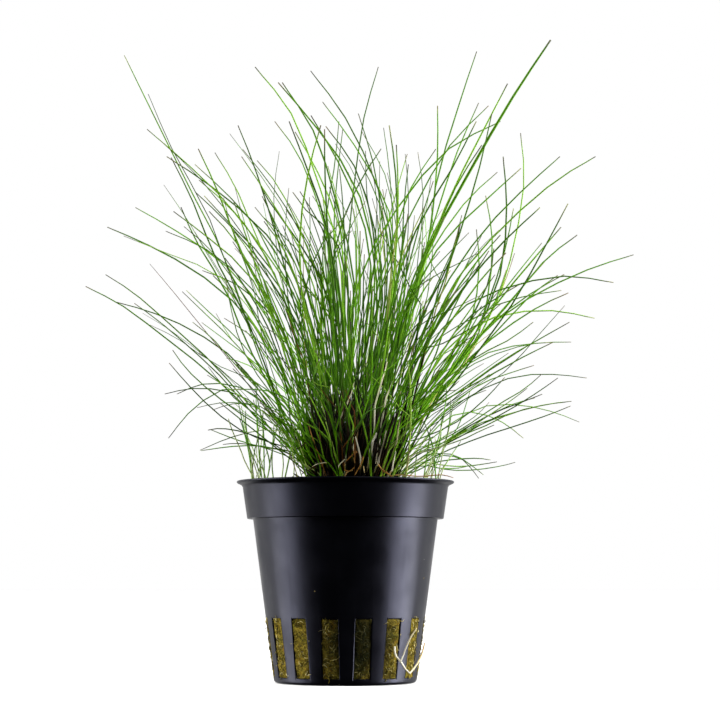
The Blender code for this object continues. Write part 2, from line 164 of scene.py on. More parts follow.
# Longest culms of each shoot: tip x, tip z, x and z of a point lower down, depth of the tip
SHOOTS = (
    ((-56, 157, -31, 105, -6),),
    ((-50, 138, -33, 123, -14), (-45, 131, -24, 116, -10)),
    ((-38, 129, -25, 117, 4), (-33, 132, -24, 114, 8)),
    ((-37, 125, -25, 113, 16), (-38, 122, -25, 110, 21)),
    ((-37, 133, -25, 104, -20), (-27, 139, -21, 122, -24)),
    ((-26, 131, -12, 109, -30), (-24, 107, -14, 91, -34)),
    ((-23, 154, -5, 119, 10), (-18, 140, -5, 113, 14)),
    ((-17, 150, 4, 117, -12), (-16, 150, -3, 122, -8)),
    ((-9, 153, 10, 111, 18), (-6, 145, 6, 127, 22)),
    ((-14, 140, -6, 118, -36), (-6, 139, -11, 116, -38), (-5, 138, -4, 112, -42)),
    ((3, 142, 9, 118, 28), (8, 154, 2, 122, 34)),
    ((11, 139, 12, 104, -4), (9, 133, 1, 118, -10)),
    ((-2, 140, -4, 128, 44), (-1, 138, -3, 115, 40)),
    ((-43, 117, -30, 107, -26), (-45, 112, -30, 104, -20)),
    ((-53, 118, -37, 109, 32), (-60, 113, -30, 95, 36)),
    ((-60, 101, -36, 81, -12), (-65, 98, -42, 82, -2), (-57, 94, -33, 83, -6)),
    ((-40, 97, -25, 82, 28), (-36, 102, -23, 95, 24)),
    ((-38, 89, -25, 76, -24), (-43, 82, -25, 64, -18)),
    ((-44, 60, -23, 72, 8), (-42, 71, -23, 71, 12), (-45, 71, -19, 65, 4)),
    ((-34, 62, -19, 58, -18), (-36, 57, -12, 56, -10), (-33, 67, -22, 68, -22)),
    ((52, 161, 28, 122, -16),),
    ((33, 158, 20, 115, 20), (23, 144, 22, 126, 26)),
    ((36, 144, 20, 122, 4), (39, 140, 11, 118, 0)),
    ((33, 140, 16, 109, -12), (37, 142, 28, 108, -18)),
    ((44, 137, 42, 105, 10),),
    ((44, 128, 21, 105, 14), (38, 127, 22, 110, 20)),
    ((54, 131, 34, 112, -8), (63, 131, 37, 111, -14)),
    ((49, 118, 37, 107, -26), (56, 119, 46, 100, -20)),
    ((58, 111, 37, 90, 8), (54, 113, 40, 96, 4)),
    ((72, 106, 39, 91, 16), (62, 90, 42, 91, 24)),
    ((67, 99, 39, 98, -2), (54, 97, 39, 94, -8)),
    ((56, 84, 40, 83, 34), (51, 84, 37, 81, 28)),
    ((56, 89, 42, 81, -14), (47, 89, 36, 83, -20)),
    ((35, 121, 37, 105, 26), (29, 116, 19, 90, 20)),
    ((16, 129, 14, 112, -30), (13, 134, 13, 118, -34)),
    ((49, 109, 38, 95, 24), (33, 105, 25, 88, 32)),
    ((60, 75, 40, 75, 6), (58, 64, 31, 67, 10)),
    ((53, 75, 26, 60, -20), (49, 76, 36, 67, -14)),
    ((55, 69, 28, 61, -4), (56, 68, 23, 56, -10)),
    ((47, 70, 32, 64, 18), (44, 60, 27, 66, 22)),
    ((42, 54, 20, 53, 10), (33, 50, 26, 56, 4)),
    ((-14, 78, -9, 74, -58), (-20, 88, -12, 80, -50)),
    ((10, 68, 7, 67, -60), (16, 82, 10, 76, -54)),
    ((-28, 72, -16, 70, -42), (-30, 90, -18, 80, -40)),
    ((28, 72, 16, 70, -44), (24, 94, 14, 84, -44)),
    ((-4, 104, -3, 88, -52), (4, 112, 3, 92, -46)),
    ((-12, 82, -8, 74, 58), (-22, 94, -13, 82, 50)),
    ((14, 76, 9, 72, 60), (20, 92, 12, 80, 54)),
    ((-30, 80, -18, 74, 46), (-26, 98, -15, 84, 40)),
    ((30, 84, 18, 76, 46), (26, 102, 15, 86, 42)),
    ((2, 112, 2, 92, 54), (-6, 120, -3, 96, 48)),
)

# Plantlets: the same, after the x and y of the place just inside the rim where each one is rooted
PLANTLETS = (
    ((-22.0, -5.0), ((-27, 71, -25, 60, -8), (-25, 65, -24, 58, -2))),
    ((-20.5, 8.5), ((-22, 73, -22, 60, 9), (-26, 68, -24, 59, 12))),
    ((21.8, -5.5), ((27, 69, 25, 60, -9), (25, 74, 24, 60, -4))),
    ((20.2, 9.0), ((31, 72, 26, 59, 12), (24, 66, 23, 57, 8))),
)
PLANTLET_ROOT_HEIGHT = 46.8
PLANTLET_SHEATH = 3.2

# Shares of a strand's length at which it has its rings, closer together near both ends
RINGS = (0, 0.02, 0.05, 0.09, 0.14, 0.2, 0.28, 0.37, 0.47, 0.57, 0.67, 0.77, 0.86, 0.93, 0.975, 1)
STRAND_SIDES = 6
BAKE_MAP = "OFBake"
STRIPS_IN_ROW = 20
STRIP_FILL = 0.8
END_SIZE = 0.3
FOOT_END = 0.12
TIP_START = 0.7

# Feet of the culms, and the dead sheaths between them, millimetres
FOOT_SPREAD = 1.5
FOOT_REACH = 10.2
WOOL_REACH = 23.5
FULL_RISE = 70.0
THINNER_RIGHT = 0.8
THINNER_LEFT = 0.7
# Feet inside the core are near black: the sheaths' own dark brown, and painted shade of the dense core
DARK_AND_SHADED_FEET = (17, 42)
PALE_FEET = (8, 32)
SHADED_CORE_LEFT = -8.8
SHADED_CORE_RIGHT = 10.5
LEAST_DARK_AND_SHADED = 3.0
LEAST_RISE = 0.45
TUFT_SHIFT = 2.2
# Reach of the tips from the axis within which culms are darker, as painted shade of the tuft's middle
SHADED_DEPTH_REACH = 45.0
WAY_ANGLE = math.radians(4.5)
THICKEST = "shoot_21"
THICKEST_LOOKS = (0.36, 0.45)
YOUNG_EXTRAS = 1
YOUNG_SPREAD = 2.4
DEAD_REACH = 10.0
DEAD_SHIFT = 1.3
DEAD_LEAN = math.radians(15)
DEAD_LENGTH = (8, 25)
DEAD_RADIUS = (0.18, 0.42)
FALLEN = 2
FALLEN_LEAN = (68, 102)
FALLEN_LENGTH = (2.5, 7)

# How a culm wanders from its arc, and what keeps it off the lip
ARC_STEPS = 20
ARC_POINTS = (2, 5, 9, 13, 17, 20)
WANDER = 0.006
CLEAR_HEIGHT = POT_HEIGHT + 0.9
CLEAR_RADIUS = 23.6
SUNK = 0.3

# Culms beside a shoot's leader: their thickness, and how the strays among them fan out
LEADER_SIZE = (0.9, 1.2)
EXTRA_SIZE = (0.45, 0.85)
STRAYS = 0.45
STRAY_FAN = 2.2
STRAY_LENGTH = 0.8
SIDE_REACH = 30

# Unseen lower ends of the traced strands
NO_FOOT = 0.01
HANGS_FROM = 4
SHOWN_ABOVE = 2
INNER_SHARE = 0.6
INNER_REACH = 9.5
MOST_ASIDE = 1.5

# Single strands that the eye can follow, in front of the crown, inside the rim or inside the tuft: radius,
# shade at the first and last point, then x and z of each point as seen from the front. A place is their
# depth at the lip's height, and how much further forward they are for each millimetre above it
FRONT_CULMS = (
    (0.21, 0.55, 0.6, (-1.2, 50.8), (-1.6, 54.1), (-2.2, 59.6), (-4.1, 66.4), (-8.1, 72.6), (-13.0, 78.5)),
    (0.2, 0.8, 0.7, (1.7, 58.0), (2.3, 62.1), (1.1, 65.8), (-0.1, 68.8), (-3.6, 75.1), (-7.5, 82.0)),
    (0.2, 0.75, 0.65, (6.4, 50.8), (5.8, 57.6), (5.1, 61.3), (3.1, 68.9), (1.1, 75.1), (-0.6, 83.0)),
    (0.17, 0.55, 0.5, (-2.3, 60.4), (-1.6, 64.4), (-0.7, 67.9), (1.6, 73.1), (5.6, 79.0)),
    (0.19, 0.62, 0.6, (6.4, 50.8), (6.4, 56.8), (6.4, 65.1), (6.7, 70.1), (6.6, 76.0), (7.2, 86.0)),
    (0.19, 0.6, 0.7, (4.6, 55.4), (6.6, 59.6), (7.8, 62.6), (8.9, 65.9), (10.8, 71.1), (13.5, 78.0)),
    (0.17, 0.7, 0.6, (10.3, 61.9), (10.9, 65.8), (13.6, 71.9), (17.5, 78.0)),
    (0.13, 0.9, 0.85, (15.8, 64.8), (14.1, 66.9), (9.4, 72.8), (5.4, 76.4)),
    (0.19, 0.5, 0.6, (-2.1, 51.1), (-5.4, 55.1), (-9.4, 58.9), (-14.4, 63.3), (-20.0, 67.5)),
    (0.18, 0.7, 0.8, (-0.7, 50.8), (-2.1, 55.4), (-4.4, 60.3), (-7.4, 62.4), (-10.4, 64.1), (-14.0, 66.5)),
    (0.18, 0.45, 0.5, (-6.1, 50.8), (-6.4, 53.8), (-8.9, 60.3), (-10.1, 63.1), (-13.0, 69.5)),
    (0.16, 0.75, 0.7, (-5.2, 55.1), (-6.2, 59.1), (-8.6, 65.8), (-12.5, 74.0)),
    (0.17, 0.9, 0.88, (-2.6, 56.5), (-4.1, 61.8), (-5.7, 68.4), (-8.2, 75.0)),
    (0.13, 0.92, 0.84, (-3.1, 70.6), (-5.9, 72.6), (-8.1, 74.3), (-11.0, 76.0)),
    (0.2, 0.82, 0.9, (8.9, 50.8), (9.9, 54.8), (10.9, 57.1), (12.2, 58.9), (14.5, 61.0)),
    (0.18, 0.86, 0.8, (9.6, 50.8), (11.65, 55.5), (13.6, 59.7), (16.5, 64.0)),
    (0.19, 0.9, 0.86, (15.1, 50.4), (15.6, 56.2), (16.2, 60.9), (16.3, 73.4), (15.3, 81.0)),
    (0.18, 0.96, 0.95, (14.8, 50.4), (15.6, 53.9), (15.9, 57.6)),
    (0.18, 0.975, 0.96, (12.6, 58.4), (13.1, 62.1), (13.9, 65.6)),
    (0.16, 0.9, 0.8, (11.9, 50.6), (13.6, 54.6), (16.1, 57.1), (19.1, 58.9), (22.0, 60.4)),
    (0.15, 0.88, 0.75, (13.1, 55.6), (14.6, 58.9), (16.6, 62.1), (19.6, 65.6), (23.5, 69.5)),
    (0.18, 0.25, 0.35, (-6.9, 50.2), (-8.4, 51.0), (-13.9, 55.1), (-21.2, 60.9), (-31.2, 68.9)),
    (0.2, 0.88, 0.6, (-9.6, 50.6), (-10.4, 52.6), (-11.3, 55.1), (-13.4, 59.4), (-16.2, 63.1), (-21.0, 69.0)),
    (0.13, 0.9, 0.88, (-9.2, 52.6), (-9.9, 54.6), (-10.7, 56.4), (-11.7, 59.9), (-13.8, 65.0)),
    (0.15, 0.6, 0.4, (-8.7, 53.6), (-10.7, 55.4), (-12.4, 56.4), (-15.2, 57.1), (-18.4, 57.6)),
    (0.15, 0.9, 0.85, (-12.4, 53.6), (-12.7, 56.4), (-14.4, 60.1), (-16.7, 63.1), (-20.5, 67.0)),
    (0.15, 0.7, 0.6, (-8.2, 54.6), (-9.4, 57.1), (-11.4, 60.9), (-14.4, 66.6)),
    (0.13, 0.9, 0.95, (-11.8, 50.4), (-12.4, 52.4), (-13.4, 55.4), (-15.4, 59.6)),
    (0.12, 0.88, 0.7, (-10.7, 50.4), (-11.6, 53.4), (-12.2, 57.6), (-12.6, 61.6)),
)
RIM_CULMS = (
    (0.17, 0.5, 0.2, (-23.2, 50.3), (-23.9, 56.2), (-25.3, 62.1), (-26.4, 65.1)),
    (0.14, 0.3, 0.1, (-20.8, 50.5), (-24.0, 58.2), (-25.5, 63.6)),
    (0.16, 0.8, 0.4, (-20.7, 50.3), (-21.4, 55.7), (-21.9, 65.1), (-22.9, 69.6)),
    (0.18, 0.7, 0.3, (-20.1, 50.3), (-20.2, 56.4), (-20.4, 62.6), (-21.5, 68.0), (-22.4, 72.5)),
    (0.18, 0.6, 0.4, (-19.3, 50.3), (-18.7, 53.7), (-20.3, 60.3), (-20.5, 66.6)),
    (0.16, 0.8, 0.6, (-19.2, 50.5), (-18.5, 55.0), (-17.1, 62.3), (-16.2, 66.5)),
    (0.17, 0.7, 0.5, (-17.9, 50.3), (-18.2, 54.6), (-17.7, 63.7)),
    (0.16, 0.9, 0.8, (-15.7, 50.4), (-15.4, 54.1), (-16.5, 61.9)),
    (0.2, 0.7, 0.3, (-14.9, 50.4), (-13.1, 58.5), (-9.9, 68.9), (-6.4, 80.9), (-5.9, 95), (-7, 104)),
    (0.15, 0.9, 0.8, (-12.8, 50.4), (-12.7, 55.5), (-13.8, 62.6)),
    (0.17, 0.6, 0.3, (-10.0, 53.1), (-13.1, 55.7), (-19.6, 57.9), (-27.4, 58.0), (-35.8, 56.9)),
    (0.16, 0.6, 0.3, (-8.5, 55.1), (-13.1, 56.7), (-19.6, 57.6), (-26.4, 59.4), (-33.7, 62.2)),
    (0.17, 0.6, 0.4, (19.4, 50.0), (19.9, 53.2), (20.4, 56.6), (21.2, 62.5)),
    (0.18, 0.3, 0.2, (22.4, 49.9), (22.1, 54.6), (21.5, 58.7), (19.6, 64.0)),
    (0.16, 0.95, 0.85, (21.3, 50.6), (22.5, 56.9), (23.8, 62.6), (24.8, 66.5)),
    (0.15, 0.8, 0.7, (17.3, 50.4), (17.4, 53.7), (17.9, 57.0)),
    (0.16, 0.3, 0.1, (12.6, 50.6), (16.6, 51.4), (22.7, 54.1), (31.6, 55.0), (36.0, 54.6)),
    (0.14, 0.3, 0.1, (18.0, 53.0), (24.1, 55.7), (28.8, 54.8), (31.6, 53.0), (34.2, 50.9)),
)
OLD_STRANDS = (
    (0.22, 0.0, 0.05, (3.9, 54.2), (3.3, 57.6), (2.5, 60.7)),
    (0.18, 0.0, 0.1, (7.4, 62.9), (7.2, 65.1), (7.4, 68.1), (8.6, 72.1), (9.3, 74.6), (10.6, 79.0)),
    (0.28, 0.0, 0.0, (6.6, 58.3), (7.4, 59.8), (7.8, 61.3)),
    (0.2, 0.0, 0.1, (9.8, 67.9), (10.8, 71.1), (11.9, 74.1)),
    (0.2, 0.0, 0.1, (8.1, 53.6), (8.8, 55.9), (9.6, 58.9), (10.3, 61.9)),
    (0.2, 0.33, 0.5, (8.1, 53.6), (9.1, 52.3), (10.4, 51.3), (11.8, 50.4)),
    (0.2, 0.0, 0.05, (11.5, 51.8), (11.9, 53.8), (12.6, 56.8)),
    (0.16, 0.05, 0.1, (1.9, 61.8), (2.0, 58.8), (2.1, 56.8)),
    (0.16, 0.5, 0.4, (2.1, 56.8), (2.2, 55.5), (2.4, 53.8)),
    (0.13, 0.6, 0.7, (1.4, 59.9), (0.3, 58.8), (-0.7, 57.4)),
    (0.14, 0.6, 0.5, (2.8, 56.6), (1.3, 55.3), (0.1, 54.1), (-0.3, 52.9), (0.1, 51.8), (1.3, 51.9),
     (2.4, 52.9)),
    (0.17, 0.4, 0.5, (4.6, 55.4), (3.9, 53.4), (2.4, 50.8)),
    (0.14, 0.35, 0.4, (0.1, 50.9), (1.1, 51.8), (1.9, 52.1)),
    (0.15, 0.2, 0.3, (4.6, 52.9), (4.9, 50.8)),
    (0.12, 0.1, 0.1, (-1.6, 52.8), (-0.7, 54.1), (0.3, 55.1)),
    (0.16, 0.55, 0.5, (-7.6, 58.8), (-8.4, 61.1), (-8.9, 63.1)),
    (0.15, 0.7, 0.8, (-1.6, 66.1), (-3.4, 68.8), (-6.2, 72.6)),
    (0.14, 0.65, 0.75, (2.4, 65.8), (1.6, 68.1), (0.1, 72.1)),
    (0.12, 0.15, 0.1, (-4.7, 53.9), (-5.9, 53.8), (-7.1, 53.5), (-8.1, 52.9)),
    (0.13, 0.9, 0.95, (-9.7, 58.9), (-10.9, 57.9), (-12.2, 57.1)),
    (0.13, 0.95, 0.9, (-7.4, 52.9), (-9.4, 51.9), (-10.9, 51.0)),
    (0.3, 1.0, 1.0, (8.6, 54.0), (10.4, 60.0), (12.0, 65.5)),
    (0.26, 0.95, 1.0, (9.6, 55.0), (11.6, 61.0), (13.4, 67.0)),
    (0.3, 1.0, 1.0, (7.4, 56.0), (9.0, 62.0), (10.4, 67.5)),
    (0.14, 0.3, 0.6, (11.6, 50.6), (14.3, 50.8), (18.9, 50.5), (23.8, 50.9), (26.8, 50.2)),
)
INNER_CULMS = (
    (0.2, 0.2, 0.3, (1.8, 70), (1.3, 87.6), (-0.4, 103.9), (-3.9, 112.1), (-8.4, 115.6), (-13.2, 121.9)),
    (0.2, 0.5, 0.1, (0.3, 70), (-0.7, 90), (-2.9, 103.9), (-5.9, 112.9), (-11.4, 122.1)),
    (0.17, 0.4, 0.5, (-1.9, 70), (-3.2, 90), (-6.4, 105.6), (-10.9, 117.1)),
    (0.18, 0.2, 0.3, (-3.7, 67.6), (-5.9, 83.9), (-10.4, 100.1), (-15.7, 113.4)),
    (0.22, 0.1, 0.2, (-0.9, 70), (-2.9, 90), (-6.9, 101.4), (-12.2, 110), (-19.4, 120), (-21.9, 125)),
    (0.18, 0.6, 0.8, (-2.9, 70), (-4.9, 92.6), (-8.9, 106.4), (-13.2, 116.4), (-17.2, 124), (-22.2, 130)),
    (0.16, 0.3, 0.4, (-2.7, 75), (-4.2, 92.6), (-8.7, 107.6), (-14.9, 117.6)),
    (0.15, 0.5, 0.8, (-1.9, 72.6), (-3.7, 95), (-8.9, 109.1), (-14.2, 119.1)),
    (0.19, 0.5, 0.55, (-10.7, 85), (-9.9, 97.6), (-6.9, 107.1), (-2.2, 113.1), (0.6, 117.1)),
    (0.16, 0.1, 0.2, (-6.9, 82.6), (-4.9, 95), (-2.7, 106.4), (1.6, 112.1)),
    (0.16, 0.4, 0.5, (-4.9, 87.6), (-5.9, 97.6), (-5.4, 110.1), (-5.2, 117.1)),
    (0.18, 0.3, 0.4, (-3.9, 70), (-8.4, 88.9), (-14.4, 104.6), (-18.4, 115.6), (-20.9, 120.9)),
    (0.17, 0.5, 0.6, (-4.4, 77.6), (-9.9, 97.6), (-15.7, 110.1), (-20.4, 120.1)),
    (0.16, 0.2, 0.5, (-2.7, 77.6), (-6.4, 97.6), (-10.7, 105.6), (-17.2, 112.4), (-20.4, 115.4)),
    (0.17, 0.6, 0.7, (-5.2, 81.4), (-10.4, 99.1), (-16.4, 110.1), (-22.7, 118.1)),
    (0.15, 0.3, 0.4, (-5.2, 77.6), (-9.2, 95), (-12.2, 105.9), (-13.4, 110.6)),
    (0.16, 0.2, 0.3, (-2.7, 75), (-6.7, 94.4), (-9.9, 103.1), (-11.9, 108.9)),
    (0.15, 0.4, 0.5, (-1.4, 76.4), (-4.4, 95), (-8.2, 104.6), (-10.4, 110.1)),
    (0.16, 0.1, 0.2, (-1.2, 82.6), (-3.2, 93.9), (-6.4, 104.6), (-8.9, 111.1)),
    (0.2, 0.86, 0.7, (1.8, 71.4), (0.1, 80), (-2.2, 86.4), (-5.4, 92.6), (-8.7, 96.9), (-11.9, 100.9)),
    (0.17, 0.9, 0.88, (-4.9, 75), (-7.4, 83.9), (-10.7, 93.6), (-12.2, 99.4)),
    (0.18, 0.88, 0.84, (1.6, 73.1), (-0.9, 79.4), (-3.9, 84.6), (-6.2, 87.4)),
    (0.15, 0.985, 0.99, (-9.9, 77.1), (-11.4, 81.1), (-13.4, 87.6), (-15.4, 95)),
    (0.17, 0.75, 0.7, (-8.1, 75.6), (-6.1, 85.6), (-5.9, 97.6), (-6.4, 104)),
    (0.17, 0.65, 0.7, (2.6, 71.6), (0.9, 77.6), (-0.4, 84.6), (-2.9, 90.1), (-7.4, 95.1), (-12.4, 99.6)),
    (0.2, 0.15, 0.2, (16.1, 76.4), (18.6, 80.6), (23.6, 88.9), (28.6, 95.9), (32.4, 101.4), (36, 107)),
    (0.2, 0.3, 0.25, (14.9, 78.9), (19.1, 90.1), (23.6, 98.9), (27.4, 107.6), (28.9, 113.9)),
    (0.16, 0.88, 0.86, (10.1, 77.1), (11.1, 83.9), (11.1, 87.6), (11.6, 91.4), (13.1, 96.4)),
    (0.14, 0.9, 0.88, (9.1, 82.1), (8.1, 84.6), (6.9, 87.1), (4.9, 89.4)),
    (0.17, 0.2, 0.15, (18.6, 89.6), (17.9, 93.1), (16.6, 96.9), (12.9, 104.6), (8.6, 112.1)),
    (0.13, 0.6, 0.65, (23.6, 98.9), (22.6, 101.4), (21.4, 104.6), (18.4, 110.1)),
    (0.15, 0.55, 0.5, (12.0, 88.0), (14.1, 92.1), (18.6, 98.4), (23.1, 103.4), (26.6, 107.1), (31, 111.6)),
    (0.14, 0.5, 0.4, (16.1, 96.1), (18.4, 98.1), (23.6, 101.4), (29.9, 104.6), (34, 106.8)),
    (0.16, 0.45, 0.4, (14.1, 77.6), (19.9, 86.4), (23.6, 92.1), (29.1, 98.1), (34, 104)),
    (0.14, 0.4, 0.5, (17.4, 78.9), (21.1, 82.6), (23.6, 85.1), (29.9, 89.1), (36, 91.4)),
    (0.15, 0.3, 0.2, (18.6, 79.4), (21.6, 82.1), (28.6, 85.9), (35, 89.6)),
    (0.13, 0.4, 0.3, (18.1, 87.6), (20.6, 89.6), (27.4, 92.6), (33.5, 95.6)),
    (0.17, 0.6, 0.65, (9.1, 82.6), (12.4, 87.1), (14.4, 90.1), (16.6, 93.9), (19.5, 100)),
    (0.2, 0.91, 0.915, (11.1, 95.1), (11.4, 101.4), (12.4, 108.1), (12.9, 113.9), (13.4, 118.9)),
    (0.19, 0.92, 0.91, (11.1, 97.6), (13.1, 103.1), (16.1, 110.1), (19.9, 118.1)),
    (0.17, 0.915, 0.92, (22.6, 92.1), (24.9, 98.6), (26.9, 106.1), (28.9, 113.9)),
    (0.15, 0.2, 0.3, (14.1, 92.1), (14.9, 97.6), (16.1, 107.6), (16.9, 112.1)),
    (0.16, 0.3, 0.4, (11.9, 81.4), (10.4, 86.4), (7.9, 95.1), (4.9, 102.1)),
    (0.14, 0.5, 0.6, (26.1, 77.1), (28.1, 80.6), (29.9, 83.9), (31.6, 87.6)),
    (0.15, 0.2, 0.3, (22.4, 77.1), (25.4, 80.1), (28.6, 83.4), (33.5, 86.4)),
)
FRONT_PLACE = (-12.3, 0.42)
INNER_PLACE = (-7.0, 0.12)
RIM_PLACE = (-3.5, 0.15)

# Side lights: name, degrees round from the camera, width in metres, share of the set brightness
SIDE_LIGHTS = (
    ("left light", -88, 0.42, 0.76),
    ("left back light", -125, 0.27, 0.12),
    ("right light", 87, 0.4, 1.55),
    ("right back light", 125, 0.27, 0.12),
)
LIGHT_DISTANCE = 0.62
LIGHT_MIDDLE = 0.1
LIGHT_HEIGHT = 0.9
TOP_LIGHT_TILT = math.radians(20)
TOP_LIGHT_ANGLE = math.radians(110)

# Escaped root: x, y, z of its stem's points and of its branch's points, outside the slots
ROOT_STEM = (
    (11.8, -14.6, 9.2), (12.1, -15.1, 7.1), (13.3, -15.5, 5.7), (15.2, -14.6, 2.9),
    (16.6, -13.6, 4.2), (17.9, -12.4, 6.1), (18.7, -11.4, 8.2), (19.2, -11.2, 10.1),
)
ROOT_BRANCH = ((13.3, -15.5, 5.7), (14.7, -15.7, 9.3), (15.6, -16.0, 11.3), (17.1, -16.0, 13.6))
ROOT_RADII = (0.24, 0.17)

# Settings of the nodes that mix two colours, and that ease a number from one end of a range to the other
MIXED = {"data_type": "RGBA"}
EASED = {"interpolation_type": "SMOOTHSTEP"}


def linear(channel):
    return channel / 12.92 if channel <= 0.04045 else ((channel + 0.055) / 1.055) ** 2.4


def colour(code):
    """Linear red, green, blue and alpha of an sRGB hex code."""
    return (*(linear(int(code[i : i + 2], 16) / 255) for i in (1, 3, 5)), 1.0)


class HairgrassPotSettings(bpy.types.PropertyGroup):
    """The net pot and its rockwool."""

    plastic: bpy.props.FloatVectorProperty(
        name="Plastic", description="Colour of the moulded plastic", subtype="COLOR", size=4,
        default=colour("#08080c"),
    )
    gloss: bpy.props.FloatProperty(
        name="Plastic roughness", description="0 is a mirror", subtype="FACTOR", default=0.36, min=0.05, max=1
    )
    edge_round: bpy.props.FloatProperty(
        name="Edge round", description="Radius of the moulded edges", subtype="DISTANCE", default=0.00016
    )
    lump_depth: bpy.props.FloatProperty(
        name="Lump depth", description="How far the wool sinks in", subtype="DISTANCE", default=0.0008
    )
    lump_size: bpy.props.FloatProperty(
        name="Lump size", description="Width of the wool's lumps", subtype="DISTANCE", default=0.0022
    )
    fibres: bpy.props.IntProperty(name="Fibres", description="Loose fibres on the wool", default=3400, min=1)
    wool_light: bpy.props.FloatVectorProperty(
        name="Pale wool", description="Colour of the clean fibres", subtype="COLOR", size=4,
        default=colour("#a69132"),
    )
    wool_dark: bpy.props.FloatVectorProperty(
        name="Dark wool", description="Colour of the soaked fibres", subtype="COLOR", size=4,
        default=colour("#2e2504"),
    )


class HairgrassTuftSettings(bpy.types.PropertyGroup):
    """The culms and old sheaths."""

    culm_radius: bpy.props.FloatProperty(
        name="Culm radius", description="Of a full-grown culm", subtype="DISTANCE", default=0.0002
    )
    extra_culms: bpy.props.IntProperty(
        name="Extra culms", description="Shorter culms in a full-grown shoot", default=14, min=0
    )
    fan_angle: bpy.props.FloatProperty(
        name="Fan angle", description="How far the extra culms lean away", subtype="ANGLE",
        default=math.radians(13),
    )
    old_sheaths: bpy.props.IntProperty(
        name="Old sheaths", description="Dead sheaths standing on the crown", default=840, min=1
    )


class HairgrassStudioSettings(bpy.types.PropertyGroup):
    """The floor, lights and camera."""

    lens: bpy.props.FloatProperty(
        name="Lens", description="Focal length", unit="CAMERA", default=103.3, min=10
    )
    floor: bpy.props.FloatVectorProperty(
        name="Floor", description="Colour of the floor", subtype="COLOR", size=4,
        default=colour("#fafaf9"),
    )
    side_light: bpy.props.FloatProperty(
        name="Side lights", description="Brightness of the side lights", default=11.0, min=0
    )
    top_light: bpy.props.FloatProperty(
        name="Top light", description="Strength of the light from above", default=3.62, min=0
    )


def seen_at(x, z, depth):
    """The point at this depth that looks from the front as if it were at x, z on the axis plane."""
    spread = 1 + depth / EYE_DISTANCE
    return np.array((x * spread, depth, EYE_HEIGHT + (z - EYE_HEIGHT) * spread))


def lengths(arms):
    return np.linalg.norm(arms, axis=-1)


def body_radius(z):
    """Outer radius of the pot's tapered body at this height."""
    share = (z - FOOT_ROUND) / (COLLAR_FOOT - FOOT_ROUND)
    return FOOT_RADIUS + (BODY_TOP_RADIUS - FOOT_RADIUS) * share


def crown_top(radius):
    """Height of the crown's surface at this distance from the axis."""
    return CROWN_FOOT + CROWN_HEIGHT * max(0.0, 1 - (radius / CROWN_RADIUS) ** 2) ** CROWN_SWELL


def arc(base, way, tip, steps):
    """Points on the parabola from base through way to tip."""
    rise = lengths(way - base)
    t = rise / (rise + lengths(tip - way))
    control = (way - (1 - t) ** 2 * base - t**2 * tip) / (2 * t * (1 - t))
    s = np.linspace(0, 1, steps + 1)[:, None]
    return (1 - s) ** 2 * base + 2 * s * (1 - s) * control + s**2 * tip


def least_gap(path, placed):
    """The least distance between a path's straight runs and those already placed, less their radii."""
    start, run = path[:-1, None], np.diff(path, axis=0)[:, None]
    other_start = np.array([leg[0] for leg in placed])
    other_run = np.array([leg[1] for leg in placed]) - other_start
    radii = np.array([leg[2] for leg in placed])
    between = start - other_start
    a, b, c = (run * run).sum(-1), (run * other_run).sum(-1), (other_run * other_run).sum(-1)
    d, e = (run * between).sum(-1), (other_run * between).sum(-1)
    s = np.clip((b * e - c * d) / np.maximum(a * c - b * b, 1e-9), 0, 1)
    t = np.clip((b * s + e) / c, 0, 1)
    s = np.clip((b * t - d) / a, 0, 1)
    apart = lengths(between + s[..., None] * run - t[..., None] * other_run)
    return (apart - radii).min()


def legs(path, radius):
    """A path's straight runs, each with its two ends and its radius."""
    return [(a, b, radius) for a, b in zip(path, path[1:])]


def roots_on_crown(count):
    """Rooting places spread evenly over the crown, each a golden angle further round than the last."""
    radii = [ROOTED_RADIUS * math.sqrt((i + 0.5) / count) for i in range(count)]
    turns = [i * GOLDEN_ANGLE for i in range(count)]
    heights = [crown_top(r) + ROOTED_ABOVE for r in radii]
    return [np.array((r * math.cos(a), r * math.sin(a), z)) for r, a, z in zip(radii, turns, heights)]


def wanted_root(culm):
    """Where on the crown a shoot would be rooted if its culms fanned out evenly: flat ones at the edge."""
    x, z, _, _, depth = culm
    tip = seen_at(x, z, depth)
    reach = math.hypot(tip[0], tip[1])
    lean = math.atan2(reach, tip[2] - crown_top(0)) / EDGE_LEAN
    return tip[:2] / reach * ROOTED_RADIUS * min(1, lean)


def rooted_shoots():
    """(root, culms) for each shoot. Shoots swap their places until no swap brings them nearer their own."""
    roots = roots_on_crown(len(SHOOTS))
    wanted = [wanted_root(culms[0]) for culms in SHOOTS]
    miss = [[((root[:2] - want) ** 2).sum() for root in roots] for want in wanted]
    held = list(range(len(SHOOTS)))
    swapped = True
    while swapped:
        swapped = False
        for i in range(len(held)):
            for j in range(i):
                a, b = held[i], held[j]
                if miss[i][b] + miss[j][a] < miss[i][a] + miss[j][b] - 1e-9:
                    held[i], held[j] = b, a
                    swapped = True
    return [(roots[k], culms) for k, culms in zip(held, SHOOTS)]


def way_point(culm, start, depth):
    """The lower point of a culm, with the part of its depth that the culm has reached there."""
    x, z, way_x, way_z, _ = culm
    below = math.hypot(way_x - start[0], way_z - start[2])
    share = below / (below + math.hypot(x - way_x, z - way_z))
    return seen_at(way_x, way_z, start[1] + (depth - start[1]) * share**DEPTH_DELAY)


def sheath_axis(root):
    """Unit vector along a sheath. Sheaths fan out, so that the ones at the crown's edge lean the most."""
    lean = EDGE_LEAN * SHEATH_LEAN * math.hypot(root[0], root[1]) / ROOTED_RADIUS
    turn = math.atan2(root[1], root[0])
    return np.array((math.sin(lean) * math.cos(turn), math.sin(lean) * math.sin(turn), math.cos(lean)))


def upright_to(axis):
    """The rotation that takes +z to this direction."""
    return Vector((0, 0, 1)).rotation_difference(Vector(axis)).to_matrix()


